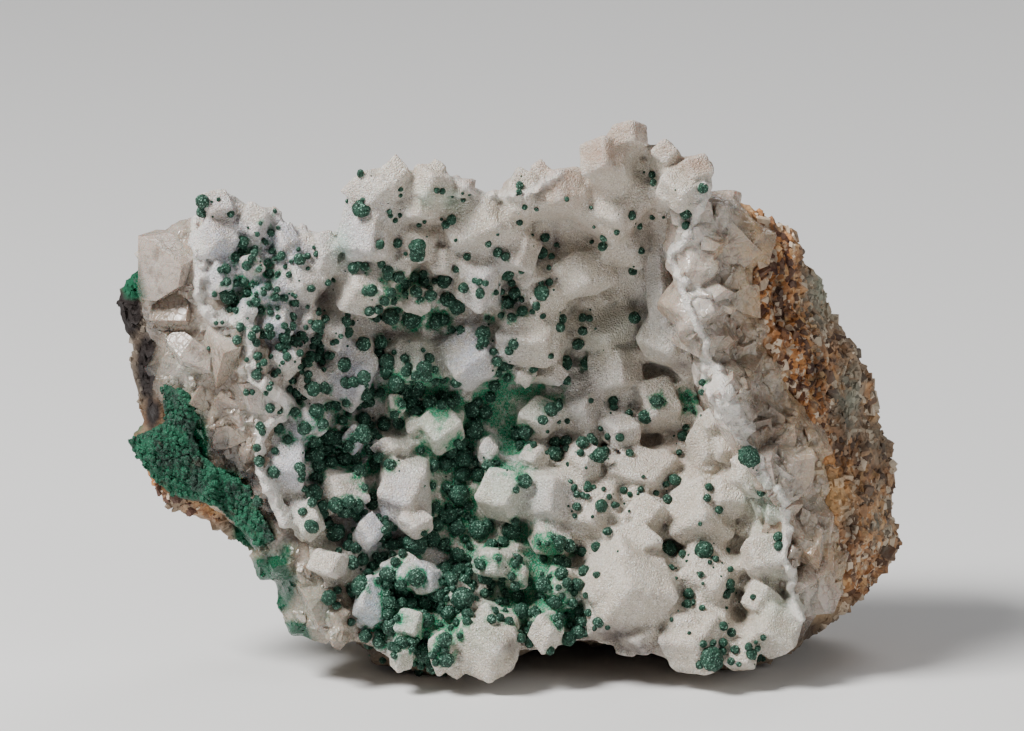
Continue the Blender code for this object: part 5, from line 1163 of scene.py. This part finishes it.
def rock_material(own, green):
    material, tree, shader = new_material("host_rock", 0.8, Specular_IOR_Level=0.35)
    spot = object_place(tree)
    mottle = used(tree, mottle_group(), Place=spot, Coarse=150.0, Fine=1100.0)["Value"]
    patch = noise_node(tree, spot, 300.0, 5.0, 0.7)
    other = noise_node(tree, spot, 520.0, 4.0, 0.6)
    tone, iron, sage, pale, gap, dark, moss = (attribute_node(tree, name) for name in (
        "tone", "iron", "sage", "pale", "gap", "dark", "moss"))
    some = plus(tree, tone, ramp_node(tree, tone, 0.0, 0.1, 1.0, 0.0))
    mossy = ramp_node(tree, plus(tree, moss, times(tree, other, 0.5)), 0.6, 0.85)
    colour = paint(tree, rgba(own.drab), [
        (times(tree, mottle, 0.6), rgba(DUST)),
        (ramp_node(tree, patch, 0.55, 0.7, 0.0, 0.55), rgba(own.sage)),
        (times(tree, iron, ramp_node(tree, patch, 0.36, 0.5)), rgba(own.iron)),
        (times(tree, iron, ramp_node(tree, other, 0.52, 0.6)), rgba(own.ochre)),
        (times(tree, iron, ramp_node(tree, other, 0.48, 0.42)), rgba(own.rust)),
        (times(tree, iron, ramp_node(tree, patch, 0.56, 0.62, 0.0, 0.8)), rgba(CREAM)),
        (times(tree, iron, ramp_node(tree, tone, 0.6, 0.64, 0.0, 0.8)), rgba(own.iron)),
        (ramp_node(tree, tone, 0.78, 0.8, 0.0, 0.85), rgba(PALE_CRUMB)),
        (ramp_node(tree, some, 0.38, 0.33, 0.0, 0.85), rgba(own.rust)),
        (times(tree, sage, ramp_node(tree, other, 0.62, 0.45, 0.3, 1.0)), rgba(own.sage)),
        (pale, rgba(own.ochre)),
        # Painted shade in the cracks, in the rust colour
        (gap, rgba(own.rust)),
        (dark, rgba(BLACK_ROCK)),
        (mossy, rgba(green)),
    ])
    tree.links.new(colour, shader.inputs["Base Color"])
    grain = voronoi_node(tree, spot, 1500.0)
    rough = noise_node(tree, spot, 2600.0, 4.0, 0.7)
    height = math_node(tree, "SUBTRACT", rough, times(tree, grain, 0.8))
    tree.links.new(bump_node(tree, height, 0.35 * MM, 0.6), shader.inputs["Normal"])
    tree.links.new(ramp_node(tree, other, 0.4, 0.65, 0.9, 0.5), shader.inputs["Roughness"])
    return material


def velvet_material(own):
    material, tree, shader = new_material(
        "velvet_malachite", 0.55, Sheen_Weight=0.06, Sheen_Roughness=0.3, Specular_IOR_Level=0.4)
    spot = object_place(tree)
    grain = voronoi_node(tree, spot, 3000.0)
    mottle = used(tree, mottle_group(), Place=spot, Coarse=260.0, Fine=2200.0)["Value"]
    brown = noise_node(tree, spot, 330.0, 4.0, 0.7)
    glint = times(tree, ramp_node(tree, grain, 0.3, 0.04), ramp_node(tree, mottle, 0.4, 0.9, 0.1, 0.9))
    colour = paint(tree, rgba(own.velvet), [
        (ramp_node(tree, mottle, 0.6, 0.2, 0.0, 0.9), rgba(VELVET_SHADE)),
        (ramp_node(tree, brown, 0.58, 0.7, 0.0, 0.8), rgba(VELVET_BROWN)),
        (glint, rgba(VELVET_GLINT)),
    ])
    tree.links.new(colour, shader.inputs["Base Color"])
    tree.links.new(bump_node(tree, times(tree, grain, -1.0), 0.25 * MM, 0.9), shader.inputs["Normal"])
    return material


def wall_colours(obj):
    """Keeps where each colour of the broken rock lies, and how deep its cracks are, for the shade painted
    into them.
    """
    points = points_of(obj)
    fading = np.clip((FADE_FROM + FADE_OVER - seen(points)[2]) / FADE_OVER, 0.15, 1)
    for name, patches in (("iron", IRON_PATCHES), ("dark", DARK_PATCHES), ("pale", PALE_PATCHES),
                          ("smoke", SMOKE_PATCHES), ("sage", SAGE_PATCHES), ("moss", MOSS_PATCHES)):
        store(obj, name, patches_over(points, patches) * fading)
    # Painted shade: how deep each crack is, to darken it
    store(obj, "gap", np.clip(hollows_of(obj, 8) * 2.5 - 0.1, 0, 0.85))


def strewn(shapes, stretches, trees, sink, draw):
    """Copies of the shapes, strewn over the stretches and sunk in by a share of their size."""
    made = []
    for outline, count, least, most in stretches:
        for across, up in places_inside(outline, count, draw):
            hit, normal = seen_from_front(trees, across, up)
            if hit is None:
                continue
            size = least * (most / least) ** (draw.random() ** 1.6) * MM
            scale = Matrix.Diagonal([size * draw.uniform(0.7, 1.3) for _ in range(3)] + [1])
            turn = any_turn(draw)
            centre = hit - normal * size * sink
            chip = stamped(draw.choice(shapes), Matrix.Translation(centre) @ turn @ scale)
            store(chip, "tone", np.full(len(chip.data.vertices), draw.uniform(0.15, 1)))
            made.append(chip)
    return made


def crumbs_all_over(base, shapes, draw):
    """Copies of the shapes, strewn over a whole surface but not below the floor."""
    made = []
    for vert in draw.sample(list(base.data.vertices), CRUMBS):
        size = draw.uniform(*CRUMB_SIZES) * MM
        turn = any_turn(draw)
        centre = vert.co - vert.normal * size * CRUMB_SINK
        crumb = stamped(draw.choice(shapes), Matrix.Translation(centre) @ turn @ Matrix.Scale(size, 4))
        if min(corner.co.z for corner in crumb.data.vertices) < 0:
            drop([crumb])
            continue
        store(crumb, "tone", np.full(len(crumb.data.vertices), draw.uniform(0.4, 0.75)))
        made.append(crumb)
    return made


class MALACHITE_OT_host_rock(bpy.types.Operator):
    """Gives the host rock its rough, stained surface"""
    bl_idname = "malachite.host_rock"
    bl_label = "Host rock"

    def execute(self, context):
        own = context.scene.malachite_rock
        draw = random.Random(SEED)
        base = merged_copy("host_rock", "rock_base")
        remesh(base, own.host_grain)
        displace_along(base, SKIN_OUT * MM)
        displace(base, 8 * MM, 2.0 * MM)
        displace(base, 3 * MM, 1.2 * MM)
        displace(base, 1.3 * MM, 0.9 * MM)
        for vert in base.data.vertices:
            vert.co.z = max(vert.co.z, 0)
        shapes = [chip_shape(f"grain_{n}", 4, draw) for n in range(5)]
        grains = strewn(shapes, GRAIN_STRETCHES, [tree_of(base)], SHALLOW_SINK, draw)
        grains += crumbs_all_over(base, shapes, draw)
        rock = joined([base] + grains, "rock_with_iron_stains")
        drop(shapes)
        wall_colours(rock)
        wear(rock, rock_material(own, context.scene.malachite_green.velvet))
        bpy.ops.object.shade_smooth_by_angle(angle=math.radians(40))
        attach(rock, "root")
        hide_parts("host_rock")
        return {"FINISHED"}


class MALACHITE_OT_quartz_wall(bpy.types.Operator):
    """Gives the quartz wall its broken, glassy chips"""
    bl_idname = "malachite.quartz_wall"
    bl_label = "Quartz wall"

    def execute(self, context):
        own = context.scene.malachite_rock
        draw = random.Random(SEED + 1)
        base = merged_copy("quartz_wall", "wall_base")
        remesh(base, own.wall_grain)
        shapes = [chip_shape(f"chip_{n}", 9, draw) for n in range(9)]
        blocks = strewn(shapes, BLOCK_STRETCHES, [tree_of(base)], CHIP_SINK, draw)
        base = joined([base] + blocks, "wall_base")
        blocks = strewn(shapes, SMALL_BLOCK_STRETCHES, [tree_of(base)], SHALLOW_SINK, draw)
        base = joined([base] + blocks, "wall_base")
        remesh(base, own.wall_grain)
        displace(base, 2.4 * MM, 0.4 * MM)
        displace(base, 0.8 * MM, 0.2 * MM)
        trees = [tree_of(base)]
        stretches = [(outline_round(across, up), 1, size, size) for across, up, size in BLOCKS]
        chips = strewn(shapes, stretches, trees, BLOCK_SINK, draw)
        chips += strewn(shapes, CHIP_STRETCHES, trees, CHIP_SINK, draw)
        wall = joined([base] + chips, "broken_quartz")
        drop(shapes)
        wall_colours(wall)
        wear(wall, quartz_material(own, context.scene.malachite_green.velvet))
        bpy.ops.object.shade_smooth_by_angle(angle=math.radians(28))
        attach(wall, "root")
        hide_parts("quartz_wall")
        return {"FINISHED"}


class MALACHITE_OT_velvet(bpy.types.Operator):
    """Gives the green patch outside its velvety grain"""
    bl_idname = "malachite.velvet"
    bl_label = "Velvet patch"

    def execute(self, context):
        own = context.scene.malachite_green
        draw = random.Random(SEED + 2)
        patch = merged_copy("malachite_velvet", "velvet_base")
        remesh(patch, 0.35 * MM)
        displace(patch, 1.4 * MM, 0.7 * MM)
        displace(patch, 0.6 * MM, 0.4 * MM)
        shapes = [ball_shape("tuft", 2, 0.4, 0.4, 3)]
        tufts = strewn(shapes, [(VELVET, TUFTS, 0.4, 1.2)], [tree_of(patch)], 0.0, draw)
        patch = joined([patch] + tufts, "velvety_malachite")
        drop(shapes)
        wear(patch, velvet_material(own))
        bpy.ops.object.shade_smooth()
        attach(patch, "root")
        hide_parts("malachite_velvet")
        return {"FINISHED"}


def leaning_tips(tips, ground, wall, own, draw):
    """The listed crystals, each a blunt tip whose point stands a little proud of the surface."""
    made = []
    for across, up, width, height, turn, lean, roll in CRYSTALS:
        hit = seen_from_front([ground], across, up)[0] or seen_from_front([wall], across, up)[0]
        if hit is None:
            continue
        kind = 1 if draw.random() < STEEP_SHARE else 0
        deep = math.sqrt(width * height) * CRYSTAL_STEEPNESS
        tall = TIP_HEIGHT * TIP_FORMS[kind][0] * deep
        at = hit + VIEW * (tall * MM - own.proud)
        size = (width * CRYSTAL_SPREAD * MM, height * CRYSTAL_SPREAD * MM, deep * MM)
        spin = roll + draw.choice((0, 60, 30, 90))
        made.append(stamped(tips[kind], Matrix.Translation(at) @ upright(
            turn * TILT_SHARE, lean * TILT_SHARE, spin, size)))
    return made


def rind_tips(tip, trees, draw):
    """Small crystals side by side along the rim, where the white rind shows."""
    made = []
    for line, width in RINDS:
        for across, up in along(line, RIND_STEP):
            hit, _ = seen_from_front(trees, across, up)
            if hit is None:
                continue
            size = [width * draw.uniform(1.1, 1.5) * MM for _ in range(2)] + [RIND_DEPTH * MM]
            spin = draw.uniform(0, 120)
            made.append(stamped(tip, Matrix.Translation(hit + VIEW * RIND_SUNK * MM) @ upright(
                draw.gauss(0, RIND_LEAN), draw.gauss(0, RIND_LEAN), spin, size)))
    return made


def hollow_at(tree, across, up, hit):
    """How much deeper this place lies than a ring of places round it, in millimetres."""
    ring = []
    for step in range(6):
        angle = step * math.tau / 6
        near, _ = seen_from_front([tree], across + RING * math.cos(angle), up + RING * math.sin(angle))
        if near is not None:
            ring.append((near - hit).dot(VIEW))
    return -sum(ring) / len(ring) / MM if ring else 0.0


def filling_tips(tips, tree, own, draw):
    """Small crystals down in the gaps between the larger ones."""
    made = []
    for across, up in places_inside(HOLLOW, own.fillers, draw):
        hit, normal = seen_from_front([tree], across, up)
        if hit is None:
            continue
        depth = hollow_at(tree, across, up, hit)
        if depth < FILLED_FROM:
            continue
        width = min(draw.uniform(own.small_from, own.small_to), depth * 2 * MM + own.small_from)
        size = (width * draw.uniform(0.85, 1.15), width * draw.uniform(0.85, 1.2), width)
        shape = draw.choice(tips)
        lean = (normal - VIEW * TOWARDS_VIEWER).normalized()
        at = hit + VIEW * width * FILLER_SINK
        aside, upwards = (
            math.degrees(math.asin(max(-1, min(1, part)))) * FILLER_TILT_SHARE + draw.gauss(0, FILLER_LEAN)
            for part in (lean.x, lean.z))
        made.append(stamped(shape, Matrix.Translation(at) @ upright(
            aside, -upwards, draw.uniform(0, 120), size)))
    return made


class MALACHITE_OT_druse(bpy.types.Operator):
    """Shapes the crystals of the hollow and fills the gaps between them with smaller ones"""
    bl_idname = "malachite.druse"
    bl_label = "Druse"

    def execute(self, context):
        own = context.scene.malachite_druse
        draw = random.Random(SEED + 3)
        base = merged_copy("druse_crust", "druse_base")
        ground = tree_of(base)
        wall = tree_of(bpy.data.objects["broken_quartz"])
        remesh(base, BED_GRAIN * MM)
        smooth(base, BED_ROUNDING)
        base.data.transform(Matrix.Translation(VIEW * own.sunk))
        tips = [tip_shape(f"tip_{n}", flatness, rounding, TIP_ROOT)
                for n, (flatness, rounding) in enumerate(TIP_FORMS)]
        crystals = leaning_tips(tips, ground, wall, own, draw)
        crystals += rind_tips(tips[-1], [ground, wall], draw)
        base = joined([base] + crystals, "druse_base")
        crust = joined([base] + filling_tips(tips, tree_of(base), own, draw), "druse")
        drop(tips)
        remesh(crust, own.grain)
        smooth(crust, 2)
        displace(crust, 2.6 * MM, 0.4 * MM)
        displace(crust, 1.0 * MM, 0.28 * MM)
        return {"FINISHED"}


def group_of(across, up):
    """The group of balls that a place belongs to."""
    side = "left" if across < GROUP_SIDES[0] else "middle" if across < GROUP_SIDES[1] else "right"
    level = "upper" if up > GROUP_LEVELS[1] else "lower" if up < GROUP_LEVELS[0] else "middle"
    return f"balls_{level}_{side}"


def group_of_node(node):
    """The group of balls that a node of the frame belongs to."""
    low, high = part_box(node)
    across, up, _ = seen(np.array([(low + high) / 2]))
    return group_of(across[0], up[0])


def crowd_spots(draw):
    """Places and diameters for the smaller balls, closer together in the middle of each crowd."""
    spots = []
    for x, y, half_width, half_height, count, least, most in CROWDS:
        for _ in range(count):
            across = x + draw.gauss(0, CROWD_SPREAD) * half_width
            up = y + draw.gauss(0, CROWD_SPREAD) * half_height
            spots.append((across, up, least * (most / least) ** (draw.random() ** 1.5)))
    return spots


def is_free_of_balls(across, up):
    """Whether a place lies on one of the crystals that no small ball settles on."""
    return any(math.hypot((across - x) / w, (up - y) / h) < 1 for x, y, w, h in FREE_OF_BALLS)


def balls_on(trees, shapes, own, draw):
    """The balls of each group, the listed ones first; those of a crowd give way to the others."""
    made = {name: [] for name in BALL_GROUPS}
    for number, (across, up, diameter) in enumerate(BALLS + crowd_spots(draw)):
        hit, _ = seen_from_front(trees, across, up)
        listed = number < len(BALLS)
        if hit is None or (not listed and is_free_of_balls(across, up)):
            continue
        radius = diameter / 2 * MM
        centre = hit - VIEW * diameter * own.stand * MM
        if not listed and any((centre - c).length < (radius + r) * OVERLAP for c, r in ball_places):
            continue
        ball_places.append((centre, radius))
        kind = "large" if diameter >= LARGE_BALL else "middle" if diameter >= MIDDLE_BALL else "small"
        squash = Matrix.Diagonal([2 * radius * draw.uniform(0.84, 1.08) for _ in range(3)] + [1])
        turn = any_turn(draw)
        ball = stamped(draw.choice(shapes[kind]), Matrix.Translation(centre) @ turn @ squash)
        made[group_of(across, up)].append(ball)
    return made


def specks_on(trees, shape, own, draw):
    """Tiny grains strewn beside the first of the balls."""
    made = []
    while len(made) < own.specks:
        centre, _ = draw.choice(ball_places[:len(BALLS)])
        across, up, _ = (v[0] for v in seen(np.array([centre])))
        beside = across + draw.gauss(0, SPECK_SPREAD)
        hit, _ = seen_from_front(trees, beside, up + draw.gauss(0, SPECK_SPREAD))
        if hit is None:
            continue
        size = draw.uniform(*SPECK_SIZES) * MM
        made.append(stamped(shape, Matrix.Translation(hit) @ Matrix.Scale(size, 4)))
    return made


class MALACHITE_OT_balls(bpy.types.Operator):
    """Puts the malachite balls on the crystals, and strews specks between them"""
    bl_idname = "malachite.balls"
    bl_label = "Malachite balls"

    def execute(self, context):
        own = context.scene.malachite_green
        draw = random.Random(SEED + 4)
        trees = [tree_of(bpy.data.objects[name])
                 for name in ("druse", "broken_quartz", "rock_with_iron_stains")]
        shapes = {
            "large": [ball_shape(f"large_ball_{n}", 4, 0.16, 0.16, 2 + n) for n in range(3)],
            "middle": [ball_shape(f"ball_{n}", 3, 0.22, 0.16, 2 + n) for n in range(4)],
            "small": [ball_shape(f"bead_{n}", 2, 0.35, 0.14, 2 + n) for n in range(3)],
            "speck": [ball_shape("speck", 1, 0.5, 0.2, 3)],
        }
        made = balls_on(trees, shapes, own, draw)
        specks = specks_on(trees, shapes["speck"][0], own, draw)
        for several in shapes.values():
            drop(several)
        material = ball_material(own)
        for name, balls in made.items():
            piece = joined(balls, name)
            wear(piece, material)
            bpy.ops.object.shade_smooth()
            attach(piece, "root")
            nodes = [node for node in frame["nodes"] if node.startswith("malachite_cluster")
                     and group_of_node(node) == name]
            if nodes:
                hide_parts(*nodes)
        piece = joined(specks, "malachite_specks")
        wear(piece, material)
        bpy.ops.object.shade_smooth()
        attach(piece, "root")
        return {"FINISHED"}


class MALACHITE_OT_film(bpy.types.Operator):
    """Colours the druse, with green films round the balls, painted shade in its gaps and painted highlight on
    its ridges, and parts it into its two halves
    """
    bl_idname = "malachite.film"
    bl_label = "Films on the druse"

    def execute(self, context):
        crust = bpy.data.objects["druse"]
        points = points_of(crust)
        gaps = hollows_of(crust, NARROW_GAPS)
        wide = hollows_of(crust, WIDE_GAPS)
        near = np.exp(-np.clip(distance_to_balls(points), 0, None) / FILM_REACH)
        stain = patches_over(points, STAIN_PATCHES)
        # The cool patches are painted reflection; the other patches are the crystals' own colours
        for name, patches in (("cool", PAINTED_REFLECTION_PATCHES), ("mint", MINT_PATCHES),
                              ("clear", CLEAR_PATCHES), ("bare", BARE_PATCHES)):
            store(crust, name, patches_over(points, patches))
        # Painted shade: darkening in the narrow gaps and the wide hollows of the druse
        narrow_shade = np.clip(gaps * 2.5 - 0.3, 0, 0.9)
        wide_shade = np.clip(wide * 0.2 - 0.15, 0, 0.35)
        store(crust, "gap", np.clip(narrow_shade + wide_shade, 0, 0.92))
        # Painted highlight on the ridges and tips, which stand out of their surroundings
        store(crust, "ridge", np.clip(-gaps * 2.2 - 0.2, 0, 1))
        rind_spots = [(x, y, width * 0.8, width * 0.8, 1.0)
                      for line, width in RINDS for x, y in along(line, 1.0)]
        store(crust, "rind", patches_over(points, rind_spots))
        in_patches = stain * (0.5 + np.clip(gaps * 1.3, -0.3, 0.6))
        round_balls = near * (0.22 + 0.85 * stain)
        in_gaps = np.clip(gaps - 0.25, 0, 0.8) * 0.5
        store(crust, "stain", np.clip(in_patches + round_balls + in_gaps, 0, 1))
        material = druse_material(context.scene.malachite_druse)
        wear(crust, material)
        other = stamped(crust, Matrix.Identity(4))
        for half, name, clear in ((crust, "druse_left", True), (other, "druse_right", False)):
            edit(half)
            bpy.ops.mesh.bisect(plane_co=place(HALVES_MEET, 0, 0), plane_no=(1, 0, 0), use_fill=True,
                                clear_outer=clear, clear_inner=not clear)
            leave_edit()
            half.name = name
            half.data.name = name
            bpy.ops.object.shade_smooth_by_angle(angle=math.radians(70))
            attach(half, "root")
            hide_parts("druse_crust")
        return {"FINISHED"}


class MALACHITE_OT_stage(bpy.types.Operator):
    """Sets up the floor, the lamps and the camera"""
    bl_idname = "malachite.stage"
    bl_label = "Stage"

    def execute(self, context):
        own = context.scene.malachite_stage
        deselect_all()
        bpy.ops.mesh.primitive_grid_add(x_subdivisions=4, y_subdivisions=4, size=6)
        floor = bpy.context.active_object
        floor.name = "floor"
        material, _, shader = new_material("pale_floor", 0.7)
        shader.inputs["Base Color"].default_value = rgba(own.floor)
        wear(floor, material)

        middle = place(*PICTURE_MIDDLE, PICTURE_BACK)
        bpy.ops.object.camera_add(location=middle - VIEW * own.distance)
        camera = bpy.context.active_object
        camera.rotation_euler = VIEW.to_track_quat("-Z", "Y").to_euler()
        camera.data.lens = camera.data.sensor_width * own.distance / (PICTURE_WIDTH * MM)
        camera.data.clip_end = 20
        bpy.context.scene.camera = camera

        for name, at, size, power, tint in (
            ("key_lamp", (-0.5, -0.3, 0.75), 0.3, own.key, (1.0, 0.985, 0.96)),
            ("fill_lamp", (0.75, -0.55, 0.45), 0.5, own.fill, (1.0, 0.97, 0.92)),
            ("rear_lamp", (0.3, 0.6, 0.7), 0.4, own.fill, (1.0, 1.0, 1.0)),
        ):
            bpy.ops.object.light_add(type="AREA", location=at)
            lamp = bpy.context.active_object
            lamp.name = name
            lamp.data.size = size
            lamp.data.energy = power
            lamp.data.color = tint
            way = LAMPS_AIM - Vector(at)
            lamp.rotation_euler = way.to_track_quat("-Z", "Y").to_euler()

        world = bpy.data.worlds.new("even_light")
        world.use_nodes = True
        sky = world.node_tree.nodes["Background"]
        sky.inputs["Color"].default_value = rgba(SKY_COLOUR)
        sky.inputs["Strength"].default_value = own.sky
        context.scene.world = world
        return {"FINISHED"}


class MALACHITE_PT_panel(bpy.types.Panel):
    """Lists the pieces and their sizes and colours"""
    bl_idname = "MALACHITE_PT_panel"
    bl_label = "Malachite on quartz"
    bl_space_type = "VIEW_3D"
    bl_region_type = "UI"
    bl_category = "Malachite"

    def draw(self, context):
        for heading, pointer, operators in PANEL_ROWS:
            box = self.layout.box()
            box.label(text=heading)
            settings = getattr(context.scene, pointer)
            for name in settings.bl_rna.properties.keys():
                if name not in ("rna_type", "name"):
                    box.prop(settings, name)
            for operator in operators:
                box.operator(operator.bl_idname)


PANEL_ROWS = (
    ("Rock", "malachite_rock", (MALACHITE_OT_host_rock, MALACHITE_OT_quartz_wall)),
    ("Druse", "malachite_druse", (MALACHITE_OT_druse, MALACHITE_OT_film)),
    ("Malachite", "malachite_green", (MALACHITE_OT_velvet, MALACHITE_OT_balls)),
    ("Stage", "malachite_stage", (MALACHITE_OT_stage,)),
)
SETTINGS = (
    ("malachite_rock", RockSettings),
    ("malachite_druse", DruseSettings),
    ("malachite_green", MalachiteSettings),
    ("malachite_stage", StageSettings),
)
CLASSES = (
    RockSettings,
    DruseSettings,
    MalachiteSettings,
    StageSettings,
    MALACHITE_OT_host_rock,
    MALACHITE_OT_quartz_wall,
    MALACHITE_OT_velvet,
    MALACHITE_OT_druse,
    MALACHITE_OT_balls,
    MALACHITE_OT_film,
    MALACHITE_OT_stage,
    MALACHITE_PT_panel,
)


def register():
    for cls in CLASSES:
        bpy.utils.register_class(cls)
    for name, settings in SETTINGS:
        setattr(bpy.types.Scene, name, bpy.props.PointerProperty(type=settings))


def unregister():
    for name, _ in SETTINGS:
        delattr(bpy.types.Scene, name)
    for cls in reversed(CLASSES):
        bpy.utils.unregister_class(cls)


def main():
    register()
    bpy.ops.malachite.host_rock()
    bpy.ops.malachite.quartz_wall()
    bpy.ops.malachite.velvet()
    bpy.ops.malachite.druse()
    bpy.ops.malachite.balls()
    bpy.ops.malachite.film()
    bpy.ops.malachite.stage()
    bpy.context.view_layer.update()


if __name__ == "__main__":
    main()
